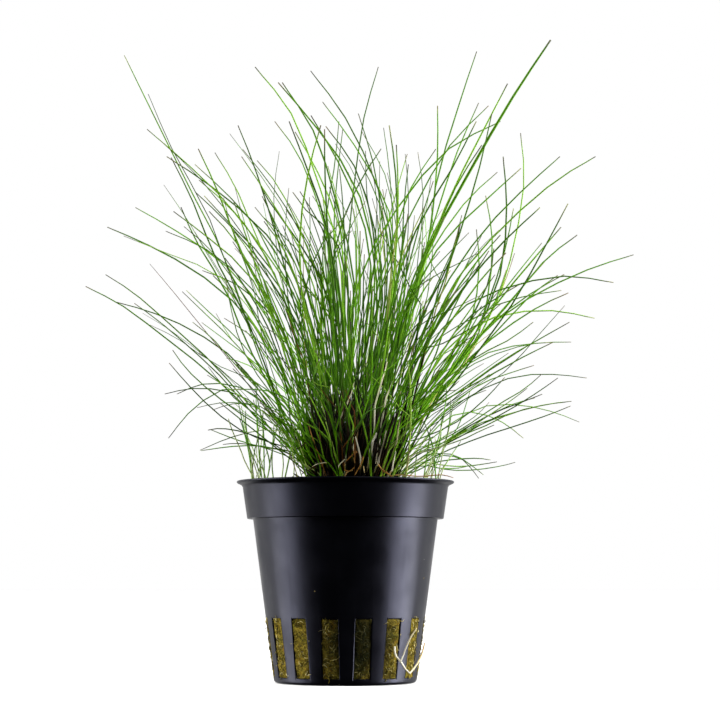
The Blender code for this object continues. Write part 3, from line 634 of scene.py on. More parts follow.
def culm_starts(top, axis):
    """Centres of the triangles that the sheath's top is parted into."""
    arms = [Vector((0, SHEATH_RADIUS, 0)) for _ in range(SHEATH_SIDES)]
    for i, arm in enumerate(arms):
        arm.rotate(Matrix.Rotation(i * math.tau / SHEATH_SIDES, 3, "Z"))
        arm.rotate(upright_to(axis))
    corners = [top + np.array(arm) for arm in arms]
    return [(a + b + top) / 3 for a, b in zip(corners, corners[1:] + corners[:1])]


def leader_tries(culm, start):
    """A culm's tip and lower point, and the same further and further back and forward."""
    for i in range(MOST_TRIES):
        depth = culm[4] + (i + 1) // 2 * DEPTH_STEP * (-1) ** i
        yield seen_at(culm[0], culm[1], depth), way_point(culm, start, depth)


def companion_tries(leader, chance):
    """Tips and lower points of shorter culms that keep beside the leader's path."""
    for _ in range(MOST_TRIES):
        share = chance.uniform(*COMPANION_SHARE)
        low = int(share * (len(leader) - 1))
        tip = leader[low] + (leader[low + 1] - leader[low]) * (share * (len(leader) - 1) - low)
        drift = np.array([chance.uniform(-most, most) for most in COMPANION_DRIFT])
        yield tip + drift, leader[low // 2] + drift / 3


def grow_culm(tries, starts, steps, placed):
    """The first try that clears what is placed, from the nearest free sheath triangle that allows it."""
    for tip, way in tries:
        for k in sorted(range(len(starts)), key=lambda i: lengths(starts[i] - way)):
            path = arc(starts[k], way, tip, steps)
            if least_gap(path, placed) > CULM_RADIUS + CULM_CLEARANCE and path[:, 2].min() > POT_HEIGHT:
                starts.pop(k)
                return path
    return None


def grow_shoot(culms, top, axis, chance, others):
    """Paths of a shoot's culms: the listed ones, then companions of the first."""
    starts = culm_starts(top, axis)
    taken = list(others)
    paths = []
    for k in range(CULMS_IN_SHOOT):
        if k < len(culms):
            path = grow_culm(leader_tries(culms[k], top), starts, CULM_STEPS, taken)
        else:
            path = grow_culm(companion_tries(paths[0], chance), starts, COMPANION_STEPS, taken)
        if path is not None:
            paths.append(path)
            taken += legs(path[:2], START_RADIUS) + legs(path[1:], CULM_RADIUS)
    return paths


def rooted_places():
    """(name, root, sheath top, sheath axis, culms) of every shoot and plantlet."""
    places = []
    for i, (root, culms) in enumerate(rooted_shoots()):
        axis = sheath_axis(root)
        places.append((f"shoot_{i + 1:02d}", root, root + axis * SHEATH_LENGTH, axis, culms))
    for i, ((x, y), culms) in enumerate(PLANTLETS):
        root = np.array((x, y, PLANTLET_ROOT_HEIGHT))
        axis = np.array((0, 0, 1.0))
        places.append((f"plantlet_{i + 1:02d}", root, root + axis * PLANTLET_SHEATH, axis, culms))
    return places


def plan():
    """(name, root, sheath top, culm paths) of each shoot and plantlet, as the solids have them."""
    chance = random.Random(SEED)
    places = rooted_places()
    sheaths = [(root, top, SHEATH_RADIUS) for _, root, top, _, _ in places]
    grown, planned = [], []
    for i, (name, root, top, axis, culms) in enumerate(places):
        paths = grow_shoot(culms, top, axis, chance, sheaths[:i] + sheaths[i + 1 :] + grown)
        grown += [leg for path in paths for leg in legs(path, CULM_RADIUS)]
        planned.append((name, root, top, paths))
    return planned


def far_along(paths):
    """How far along its path each point of the paths is."""
    steps = lengths(np.diff(paths, axis=-2))
    return np.concatenate([np.zeros_like(steps[..., :1]), np.cumsum(steps, axis=-1)], axis=-1)


def smooth(controls, shares=RINGS):
    """Smooth paths through each row of control points, with a point at each share of their length."""
    controls = np.asarray(controls, float)
    first = 2 * controls[:, :1] - controls[:, 1:2]
    last = 2 * controls[:, -1:] - controls[:, -2:-1]
    ends = np.concatenate([first, controls, last], axis=1)
    a, b, c, d = (ends[:, i : ends.shape[1] - 3 + i, None] for i in range(4))
    t = np.linspace(0, 1, 9)[:-1, None]
    curve = (2 * b + (c - a) * t + (2 * a - 5 * b + 4 * c - d) * t**2 + (3 * b - a - 3 * c + d) * t**3) / 2
    fine = np.concatenate([curve.reshape(len(controls), -1, 3), controls[:, -1:]], axis=1)
    paths = [
        np.stack([np.interp(np.array(shares) * far[-1], far, points[:, k]) for k in range(3)], axis=1)
        for far, points in zip(far_along(fine), fine)
    ]
    return np.array(paths)


def strand_frames(paths):
    """Two unit vectors across every path at each of its points, turning as little as they can."""
    ahead = np.gradient(paths, axis=1)
    ahead /= lengths(ahead)[..., None]
    across = np.cross(ahead[:, 0], (0.31, 0.87, 0.38))
    sides = []
    for k in range(paths.shape[1]):
        across = across - (across * ahead[:, k]).sum(-1, keepdims=True) * ahead[:, k]
        across /= lengths(across)[:, None]
        sides.append(across)
    side = np.stack(sides, axis=1)
    return side, np.cross(ahead, side)


def strand_map(count, rings, turn):
    """Places on the map of the strands' walls, then of their ends. Every strand has a strip of its own."""
    sides = len(turn)
    rows = math.ceil(math.sqrt(count / STRIPS_IN_ROW))
    columns = math.ceil(count / rows)
    edge = (1 - STRIP_FILL) / 2
    left, foot = (part[:, None, None] for part in (np.arange(count) % columns, np.arange(count) // columns))
    u = (left + edge + STRIP_FILL * np.arange(sides) / sides + np.zeros((1, rings - 1, 1))) / columns
    v = (foot + edge + STRIP_FILL * np.arange(rings)[:, None] / (rings - 1)) / rows
    step = STRIP_FILL / sides / columns
    low, high = v[:, :-1] + 0 * u, v[:, 1:] + 0 * u
    walls = np.stack([u, low, u + step, low, u + step, high, u, high], axis=-1)
    outline = np.stack([np.cos(turn) * END_SIZE / columns, np.sin(turn) * edge * END_SIZE / rows], axis=1)
    ends = [
        np.array(((k % columns + 0.5) / columns, (k // columns + height) / rows)) + outline
        for k in range(count)
        for height in (edge / 2, 1 - edge / 2)
    ]
    return np.concatenate([walls.reshape(-1, 2), *ends])


def strand_mesh(name, paths, radii, marks, sides=STRAND_SIDES):
    """One mesh of closed round strands along paths in millimetres.

    Each point knows how far it is from its strand's root and tip. marks holds more numbers, one for each
    strand or for each of its rings. The map keeps a colour that changes along a strand sharp.
    """
    count, rings = paths.shape[:2]
    side, up = strand_frames(paths)
    turn = np.arange(sides) * math.tau / sides
    arms = np.cos(turn)[:, None] * side[:, :, None] + np.sin(turn)[:, None] * up[:, :, None]
    points = paths[:, :, None] + radii[:, :, None, None] * arms
    starts = np.arange(count) * rings * sides
    low = starts[:, None, None] + (np.arange(rings - 1) * sides)[:, None]
    here = np.arange(sides)
    walls = np.stack([low + here, low + (here + 1) % sides], axis=-1)
    walls = np.concatenate([walls, walls[..., ::-1] + sides], axis=-1).reshape(-1, 4)
    caps = []
    for start in starts.tolist():
        last = start + (rings - 1) * sides
        caps += [list(range(start + sides - 1, start - 1, -1)), list(range(last, last + sides))]
    mesh = bpy.data.meshes.new(name)
    mesh.from_pydata((points.reshape(-1, 3) * MM).tolist(), [], walls.tolist() + caps)
    places = strand_map(count, rings, turn)
    mesh.uv_layers.new(name=BAKE_MAP).uv.foreach_set("vector", places.astype(np.float32).ravel())
    run = far_along(paths)
    values = {"from_root": run, "from_tip": run[:, -1:] - run}
    values.update({key: np.reshape(mark, (count, -1)) + 0 * run for key, mark in marks.items()})
    for key, value in values.items():
        stored = mesh.attributes.new(key, "FLOAT", "POINT")
        stored.data.foreach_set("value", np.repeat(value.ravel(), sides).astype(np.float32))
    mesh.shade_smooth()
    mesh.validate()
    obj = bpy.data.objects.new(name, mesh)
    bpy.context.scene.collection.objects.link(obj)
    return obj


def tapered(count, radius, foot=1.0, tip=0.62, shares=RINGS):
    """Radii of strands at their rings. foot and tip are the ends' shares of the radius between them."""
    shares = np.array(shares)
    shape = 1 + (foot - 1) * np.clip(1 - shares / FOOT_END, 0, 1)
    shape = shape * (1 - (1 - tip) * np.clip((shares - TIP_START) / (1 - TIP_START), 0, 1) ** 2)
    return np.broadcast_to(radius, (count,))[:, None] * shape


def turned_away(arm, angle, chance):
    """An arm leant at random, by this angle more or less, about a random axis."""
    axis = Vector([chance.gauss(0, 1) for _ in range(3)]).cross(Vector(arm)).normalized()
    return np.array(Matrix.Rotation(chance.gauss(0, angle), 3, axis) @ Vector(arm))


def add_node(tree, kind, settings):
    """Add a shader node and return its outputs.

    A setting is a link to a socket, a socket's value, the (place, hex code) stops of a ramp, or a property.
    """
    node = tree.nodes.new("ShaderNode" + kind)
    for key, value in settings.items():
        if isinstance(value, bpy.types.NodeSocket):
            tree.links.new(value, node.inputs[key])
        elif key == "stops":
            elements = node.color_ramp.elements
            while len(elements) < len(value):
                elements.new(0.5)
            for element, (place, code) in zip(elements, value):
                element.position, element.color = place, colour(code)
        elif isinstance(key, int) or key in node.inputs:
            node.inputs[key].default_value = value
        else:
            setattr(node, key, value)
    return node.outputs


def new_material(name, roughness, specular, ior=1.5):
    """An empty Principled material, its shader's inputs, links, an adder of nodes and Object coordinates."""
    made = bpy.data.materials.new(name)
    made.use_nodes = True
    inputs = made.node_tree.nodes["Principled BSDF"].inputs
    for key, value in (("Roughness", roughness), ("Specular IOR Level", specular), ("IOR", ior)):
        inputs[key].default_value = value
    node = partial(add_node, made.node_tree)
    return made, inputs, made.node_tree.links, node, node("TexCoord", {})["Object"]


def per(size_mm):
    """Scale of a pattern whose features are this many millimetres across."""
    return 1 / (size_mm * MM)


def moulded_polypropylene(settings):
    """Injection-moulded black polypropylene: dark and half glossy, faintly uneven, with dust and scuffs."""
    made, inputs, links, node, place = new_material("moulded black polypropylene", settings.gloss, 0.25, 1.49)
    inputs["Specular Tint"].default_value = (0.66, 0.68, 1, 1)
    waves = node("TexNoise", {"Vector": place, "Scale": per(7), "Detail": 3.0})["Fac"]
    grain = node("TexNoise", {"Vector": place, "Scale": per(0.35), "Detail": 2.0})["Fac"]
    specks = node("TexVoronoi", {"Vector": place, "Scale": per(3.4), "Randomness": 1.0})
    parts = node("SeparateColor", {"Color": specks["Color"]})
    chosen = node("MapRange", EASED | {"Value": parts["Red"], "From Min": 0.55, "From Max": 0.58})[0]
    size = node("Math", {"operation": "MULTIPLY_ADD", 0: parts["Green"], 1: 0.055, 2: 0.025})[0]
    inside = node("Math", {"operation": "LESS_THAN", 0: specks["Distance"], 1: size})[0]
    dust = node("Math", {"operation": "MULTIPLY", 0: chosen, 1: inside})[0]
    tints = ((0, "#6d6a5c"), (0.6, "#8a7c4e"), (1, "#b9bcc2"))
    speck = node("ValToRGB", {"Fac": parts["Blue"], "stops": tints})[0]
    haze = node("MapRange", EASED | {"Value": waves, "From Min": 0.35, "From Max": 0.8, "To Max": 0.35})[0]
    plain = node("Mix", MIXED | {0: haze, 6: settings.plastic, 7: colour("#131318")})[2]
    links.new(node("Mix", MIXED | {0: dust, 6: plain, 7: speck})[2], inputs["Base Color"])
    least, most = settings.gloss - 0.04, settings.gloss + 0.08
    reach = {"From Min": 0.3, "From Max": 0.7, "To Min": least, "To Max": most}
    rough = node("MapRange", {"Value": waves} | reach)[0]
    links.new(node("Math", {"operation": "MAXIMUM", 0: rough, 1: dust})[0], inputs["Roughness"])
    fine = node("Bump", {"Height": grain, "Strength": 0.12, "Distance": 0.02 * MM})[0]
    wavy = node("Bump", {"Height": waves, "Normal": fine, "Strength": 0.25, "Distance": 0.08 * MM})[0]
    links.new(wavy, inputs["Normal"])
    return made


def soaked_and_shaded_front(node, place):
    """How dark the wool and its fibres are, with water and algae and with painted shade where the side lights
    leave the front unlit: most at the foot of the pot's front.
    """
    middle = [part * MM for part in SOAKED_SHADED_MIDDLE]
    far = node("VectorMath", {"operation": "DISTANCE", 0: place, 1: middle})["Value"]
    near, reach = (part * MM for part in SOAKED_SHADED_REACH)
    return node("MapRange", EASED | {"Value": far, "From Min": reach, "From Max": near, "To Max": 0.92})[0]


def wet_rockwool(settings):
    """Spun rock fibre, soaked and grown over with algae: matt, tangled, ochre with green and dark patches,
    and darker at the pot's front, partly with painted shade.
    """
    made, inputs, links, node, place = new_material("spun rockwool", 0.9, 0.1)
    patches = node("TexNoise", {"Vector": place, "Scale": per(5), "Detail": 4.0})["Fac"]
    knotty = {"Detail": 6.0, "Roughness": 0.7, "Distortion": 1.4}
    threads = node("TexNoise", {"Vector": place, "Scale": per(0.55)} | knotty)["Fac"]
    tangle = node("TexNoise", {"Vector": place, "Scale": per(1.7), "Detail": 3.0, "Distortion": 0.8})["Fac"]
    share = node("MapRange", EASED | {"Value": threads, "From Min": 0.34, "From Max": 0.68})[0]
    wool = node("Mix", MIXED | {0: share, 6: settings.wool_dark, 7: settings.wool_light})[2]
    for pattern, low, high, most, code in (
        (patches, 0.5, 0.72, 0.6, "#525c14"),
        (tangle, 0.58, 0.72, 0.5, "#8f6410"),
        (tangle, 0.45, 0.28, 0.8, "#171303"),
    ):
        reach = {"From Min": low, "From Max": high, "To Max": most}
        share = node("MapRange", EASED | {"Value": pattern} | reach)[0]
        wool = node("Mix", MIXED | {0: share, 6: wool, 7: colour(code)})[2]
    # Darker at the pot's front: damp and algae, and painted shade
    soaked = node("Mix", MIXED | {0: soaked_and_shaded_front(node, place), 6: wool, 7: colour("#0f1404")})[2]
    links.new(soaked, inputs["Base Color"])
    links.new(node("Bump", {"Height": threads, "Strength": 0.8, "Distance": 0.25 * MM})[0], inputs["Normal"])
    return made


def wool_fibre():
    """Single rock fibres, three times as thick as real so that they show: pale, dry and a little shiny."""
    made, inputs, links, node, place = new_material("rockwool fibre", 0.6, 0.1)
    shade = node("Attribute", {"attribute_name": "shade"})["Fac"]
    stops = ((0, "#1a1703"), (0.4, "#5c5516"), (0.7, "#a8963a"), (1, "#efe2a0"))
    fibre = node("ValToRGB", {"Fac": shade, "stops": stops})[0]
    # Darker at the pot's front: damp and algae, and painted shade
    soaked = node("Mix", MIXED | {0: soaked_and_shaded_front(node, place), 6: fibre, 7: colour("#1a2106")})[2]
    links.new(soaked, inputs["Base Color"])
    return made


def rotted_mat():
    """Old rhizomes and rotted sheaths: almost black, fibrous, damp in places."""
    made, inputs, links, node, place = new_material("rotted root mat", 0.8, 0.5)
    threads = node("TexNoise", {"Vector": place, "Scale": per(0.8), "Detail": 5.0, "Distortion": 1.0})["Fac"]
    stops = ((0.3, "#050302"), (0.5, "#0e0905"), (0.66, "#24180c"), (0.8, "#443018"))
    links.new(node("ValToRGB", {"Fac": threads, "stops": stops})[0], inputs["Base Color"])
    links.new(node("Bump", {"Height": threads, "Strength": 0.9, "Distance": 0.3 * MM})[0], inputs["Normal"])
    return made


def strand_material(name, roughness, stops, sheath=(), tip=None, mottle=0.25):
    """A strand coloured by its shade, mottled along its length, with a sheathed foot and a withered tip.

    sheath is the colours of an inner and of an outer sheath: its strands carry the sheath's length as "foot"
    and how far out they grow as "outer". tip is (stops, least length, most length). Lengths are millimetres.
    """
    made, inputs, links, node, place = new_material(name, roughness, 0.08)
    shade = node("Attribute", {"attribute_name": "shade"})["Fac"]
    noise = node("TexWhiteNoise", {"noise_dimensions": "1D", "W": shade})["Color"]
    parts = node("SeparateColor", {"Color": noise})
    skin = node("ValToRGB", {"Fac": shade, "stops": stops})[0]
    spots = node("TexNoise", {"Vector": place, "Scale": per(3.5), "Detail": 4.0})["Fac"]
    dull = node("HueSaturation", {"Color": skin, "Saturation": 1.0, "Value": 0.6})[0]
    reach = {"From Min": 0.48, "From Max": 0.72, "To Max": mottle * 2}
    share = node("MapRange", EASED | {"Value": spots} | reach)[0]
    skin = node("Mix", MIXED | {0: share, 6: skin, 7: dull})[2]
    if tip is not None:
        tip_stops, least, most = tip
        far = node("Attribute", {"attribute_name": "from_tip"})["Fac"]
        reach = node("Math", {"operation": "MULTIPLY_ADD", 0: parts["Red"], 1: most - least, 2: least})[0]
        share = node("MapRange", EASED | {"Value": far, "From Min": 0.0, "From Max": reach})[0]
        withered = node("ValToRGB", {"Fac": parts["Blue"], "stops": tip_stops})[0]
        skin = node("Mix", MIXED | {0: share, 6: withered, 7: skin})[2]
    if sheath:
        names = ("from_root", "foot", "outer")
        far, foot, outer = (node("Attribute", {"attribute_name": name})["Fac"] for name in names)
        start = node("Math", {"operation": "MULTIPLY", 0: foot, 1: 0.6})[0]
        inner, outside = (node("ValToRGB", {"Fac": parts["Green"], "stops": tints})[0] for tints in sheath)
        husk = node("Mix", MIXED | {0: outer, 6: inner, 7: outside})[2]
        share = node("MapRange", EASED | {"Value": far, "From Min": start, "From Max": foot})[0]
        skin = node("Mix", MIXED | {0: share, 6: husk, 7: skin})[2]
    links.new(skin, inputs["Base Color"])
    return made


def hairgrass_culm():
    """A living culm: smooth and waxy, green, with some yellowed and dead ones among them."""
    greens = (
        (0, "#274a00"), (0.3, "#407200"), (0.6, "#5d9806"), (0.85, "#88bc2e"), (0.9, "#bbd66a"),
        (0.93, "#8b7c3a"), (0.955, "#cfc08a"), (0.975, "#e2dcbc"), (0.988, "#70401f"), (1, "#3b2413"),
    )
    # Inner sheaths, near black: their own dark brown, and painted shade of the dense core
    inner = ((0, "#040302"), (0.6, "#0d0904"), (0.88, "#2e2010"), (1, "#5f5028"))
    outer = ((0, "#1f4d06"), (0.25, "#5a9418"), (0.5, "#a5cc58"), (0.75, "#dceba0"), (1, "#fafadc"))
    tip = (((0, "#3b3a30"), (0.5, "#5b5a48"), (0.8, "#6e5b3c"), (1, "#8f9a62")), 2, 9)
    return strand_material("hairgrass culm", 0.55, greens, (inner, outer), tip)


def young_culm():
    """A culm grown in shade: thin-skinned, pale and yellow-green."""
    greens = ((0, "#4d8a1c"), (0.4, "#7ab83c"), (0.7, "#a9d56c"), (1, "#e2efba"))
    inner = ((0, "#8fa865"), (1, "#c9d39a"))
    tip = (((0, "#5b6a4a"), (1, "#9aa878")), 2, 8)
    return strand_material("young culm", 0.55, greens, (inner, inner), tip, 0.1)


def dead_sheath_and_shade():
    """A dead sheath: papery and rotted, near black with brown and a few straw-coloured ones. The near black
    is partly the sheaths' own colour and partly painted shade of the dense core.
    """
    browns = (
        (0, "#030201"), (0.5, "#0a0502"), (0.75, "#221206"),
        (0.9, "#4a2c12"), (0.96, "#7a6034"), (1, "#c9bb92"),
    )
    return strand_material("dead sheath", 0.7, browns)


def dry_root():
    """A bare dry root: smooth and tough, from cream through amber to dark brown."""
    browns = (
        (0, "#fffae6"), (0.25, "#e8d59c"), (0.45, "#b98a45"),
        (0.65, "#8a5524"), (0.85, "#4b2b14"), (1, "#1d110a"),
    )
    return strand_material("dry root", 0.5, browns, mottle=0.1)


def start_piece(name, add, **settings):
    """Add a primitive with nothing else selected, and name it for the piece that it becomes."""
    bpy.ops.object.select_all(action="DESELECT")
    add(**settings)
    piece = bpy.context.object
    piece.name = piece.data.name = name
    return piece


def select_alone(piece):
    """Select this piece and nothing else, and make it active."""
    bpy.ops.object.select_all(action="DESELECT")
    piece.select_set(True)
    bpy.context.view_layer.objects.active = piece


def edit(piece, mode):
    """Go into edit mode on this piece, with all of it selected, to select by VERT, EDGE or FACE."""
    bpy.context.view_layer.objects.active = piece
    bpy.ops.object.mode_set(mode="EDIT")
    bpy.ops.mesh.select_mode(type=mode)
    bpy.ops.mesh.select_all(action="SELECT")


def pick(piece, kind, wanted):
    """In edit mode, select only the piece's edges or faces of which wanted is true."""
    bm = bmesh.from_edit_mesh(piece.data)
    bpy.ops.mesh.select_all(action="DESELECT")
    for item in getattr(bm, kind):
        if wanted(item):
            item.select_set(True)
    bm.select_flush_mode()
    bmesh.update_edit_mesh(piece.data)


def draw_profile(rows):
    """In edit mode, extrude the selected ring through rows of (radius, z) in millimetres."""
    for (radius, z), (next_radius, next_z) in zip(rows, rows[1:]):
        bpy.ops.mesh.extrude_region_move(TRANSFORM_OT_translate={"value": (0, 0, (next_z - z) * MM)})
        scale = next_radius / radius
        bpy.ops.transform.resize(value=(scale, scale, 1))


def apply_modifier(piece, kind, **settings):
    """Add a modifier with these settings and apply it."""
    select_alone(piece)
    modifier = piece.modifiers.new(kind.title(), kind)
    for key, value in settings.items():
        setattr(modifier, key, value)
    bpy.ops.object.modifier_apply(modifier=modifier.name)


def make_lumpy(piece, size, depth, level):
    """Displace a piece by lumps of this size and depth, of which the share under level goes inwards."""
    lumps = bpy.data.textures.new("lumps", "CLOUDS")
    lumps.noise_scale = size
    lumps.noise_depth = LUMP_DETAIL
    settings = {"texture_coords": "LOCAL", "direction": "NORMAL", "mid_level": level, "strength": depth}
    apply_modifier(piece, "DISPLACE", texture=lumps, **settings)
    bpy.data.textures.remove(lumps)
    piece.data.shade_smooth()


def finish_piece(piece, material, slot, *nodes):
    """Give a shaped piece its material and its body, and hide the solids that it stands for. slot is not
    used.
    """
    select_alone(piece)
    bpy.ops.object.transform_apply(location=True, rotation=True, scale=True)
    piece.data.materials.clear()
    piece.data.materials.append(material)
    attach(piece, "root")
    if nodes:
        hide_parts(*nodes)


def slot_direction(k):
    """Unit vectors out through the wall slot of this number and across it."""
    turn = math.radians(SLOT_TURN + k * 360 / SLOTS)
    return Vector((math.sin(turn), -math.cos(turn), 0)), Vector((math.cos(turn), math.sin(turn), 0))


class HAIRGRASS_OT_net_pot(bpy.types.Operator):
    """Build the net pot: a tapered cup with a collar, a flared lip and slots through its wall and floor"""

    bl_idname = "hairgrass.net_pot"
    bl_label = "Net Pot"

    def execute(self, context):
        settings = context.scene.hairgrass_pot
        quarter = [i * math.pi / 2 / FOOT_ROUND_STEPS for i in range(FOOT_ROUND_STEPS + 1)]
        middle = FOOT_RADIUS - FOOT_ROUND
        rows = [
            *((middle + FOOT_ROUND * math.sin(a), FOOT_ROUND * (1 - math.cos(a))) for a in quarter),
            *((body_radius(z), z) for z in (SLOT_FOOT, SLOT_TOP, COLLAR_FOOT)),
            (COLLAR_FOOT_RADIUS, COLLAR_FOOT),
            (COLLAR_TOP_RADIUS, COLLAR_TOP),
            (COLLAR_TOP_RADIUS + LIP_FLARE, COLLAR_TOP + LIP_FLARE_HEIGHT),
            (LIP_RADIUS - LIP_THICKNESS / 2, POT_HEIGHT - LIP_THICKNESS),
            (LIP_RADIUS, POT_HEIGHT - LIP_THICKNESS / 2),
            (LIP_RADIUS - LIP_THICKNESS / 4, POT_HEIGHT),
            (LIP_RADIUS - LIP_THICKNESS, POT_HEIGHT),
            (COLLAR_TOP_RADIUS - WALL, COLLAR_TOP),
            (COLLAR_FOOT_RADIUS - WALL, COLLAR_FOOT + LEDGE),
            (BODY_TOP_RADIUS - WALL, COLLAR_FOOT + LEDGE),
            *((body_radius(z) - WALL, z) for z in (SLOT_TOP, SLOT_FOOT)),
            (FOOT_RADIUS - WALL, FLOOR),
        ]
        turn = (0, 0, math.radians(SLOT_TURN) + math.pi / POT_COLUMNS)
        circle = {"vertices": POT_COLUMNS, "radius": rows[0][0] * MM, "fill_type": "NOTHING"}
        pot = start_piece("net_pot", bpy.ops.mesh.primitive_circle_add, rotation=turn, **circle)
        bpy.ops.object.transform_apply(rotation=True)
        edit(pot, "EDGE")
        draw_profile(rows)
        bpy.ops.mesh.edge_face_add()
        pick(pot, "edges", lambda edge: edge.is_boundary)
        bpy.ops.mesh.edge_face_add()
        self.open_slots(pot)
        bpy.ops.mesh.select_all(action="SELECT")
        bpy.ops.mesh.normals_make_consistent(inside=False)
        bpy.ops.object.mode_set(mode="OBJECT")
        self.open_floor(pot)
        corners = {"limit_method": "ANGLE", "angle_limit": EDGE_ANGLE, "use_clamp_overlap": False}
        apply_modifier(pot, "BEVEL", width=settings.edge_round, segments=2, **corners)
        bpy.ops.object.shade_smooth_by_angle(angle=EDGE_ANGLE)
        finish_piece(pot, moulded_polypropylene(settings), "pot", "pot")
        return {"FINISHED"}

    def open_slots(self, pot):
        """Cut both walls along each slot's sides, and join the two walls round it."""
        half = SLOT_WIDTH / 2 * MM
        for k in range(SLOTS):
            out, across = slot_direction(k)
            for sign in (-1, 1):
                pick(pot, "faces", lambda face: self.on_slot(face, out, across, CUT_REACH * half))
                bpy.ops.mesh.bisect(plane_co=across * half * sign, plane_no=across)
            pick(pot, "faces", lambda face: self.on_slot(face, out, across, OPEN_REACH * half))
            bpy.ops.mesh.bridge_edge_loops()
        bpy.ops.mesh.select_mode(type="EDGE")
        pick(pot, "edges", self.at_slot_mouth)
        bpy.ops.mesh.bevel(offset=SLOT_ROUND * MM, segments=3, clamp_overlap=False)

    def on_slot(self, face, out, across, reach):
        """Whether this face of a wall is at the slot, less than reach from its middle line."""
        centre = face.calc_center_median()
        near, far = (distance * MM for distance in SLOT_REACH)
        at_height = SLOT_FOOT * MM < centre.z < SLOT_TOP * MM
        return at_height and abs(centre.dot(across)) < reach and near < centre.dot(out) < far

    def at_slot_mouth(self, edge):
        """Whether this edge is where a slot opens in the outer wall."""
        low, high = SLOT_FOOT * MM - TOUCHING, SLOT_TOP * MM + TOUCHING
        if not edge.is_manifold or not all(low < vert.co.z < high for vert in edge.verts):
            return False
        middle = (edge.verts[0].co + edge.verts[1].co) / 2
        outside = math.hypot(middle.x, middle.y) > (body_radius(middle.z / MM) - WALL / 2) * MM
        return outside and edge.calc_face_angle() > MOUTH_ANGLE

    def open_floor(self, pot):
        """Cut the floor's slots with boxes."""
        cutter = start_piece("floor_cutter", bpy.ops.mesh.primitive_cube_add, size=1)
        near, far = FLOOR_SLOT_REACH
        edit(cutter, "VERT")
        bpy.ops.transform.resize(value=(FLOOR_SLOT_WIDTH * MM, (far - near) * MM, 4 * FLOOR * MM))
        bpy.ops.transform.translate(value=(0, -(near + far) / 2 * MM, 0))
        bpy.ops.object.mode_set(mode="OBJECT")
        boxes = [cutter]
        for k in range(1, FLOOR_SLOTS):
            copy = bpy.data.objects.new("floor_cutter", cutter.data.copy())
            copy.data.transform(Matrix.Rotation(k * math.tau / FLOOR_SLOTS, 4, "Z"))
            bpy.context.scene.collection.objects.link(copy)
            boxes.append(copy)
        for box in boxes:
            apply_modifier(pot, "BOOLEAN", operation="DIFFERENCE", solver="EXACT", object=box)
            bpy.data.objects.remove(box)


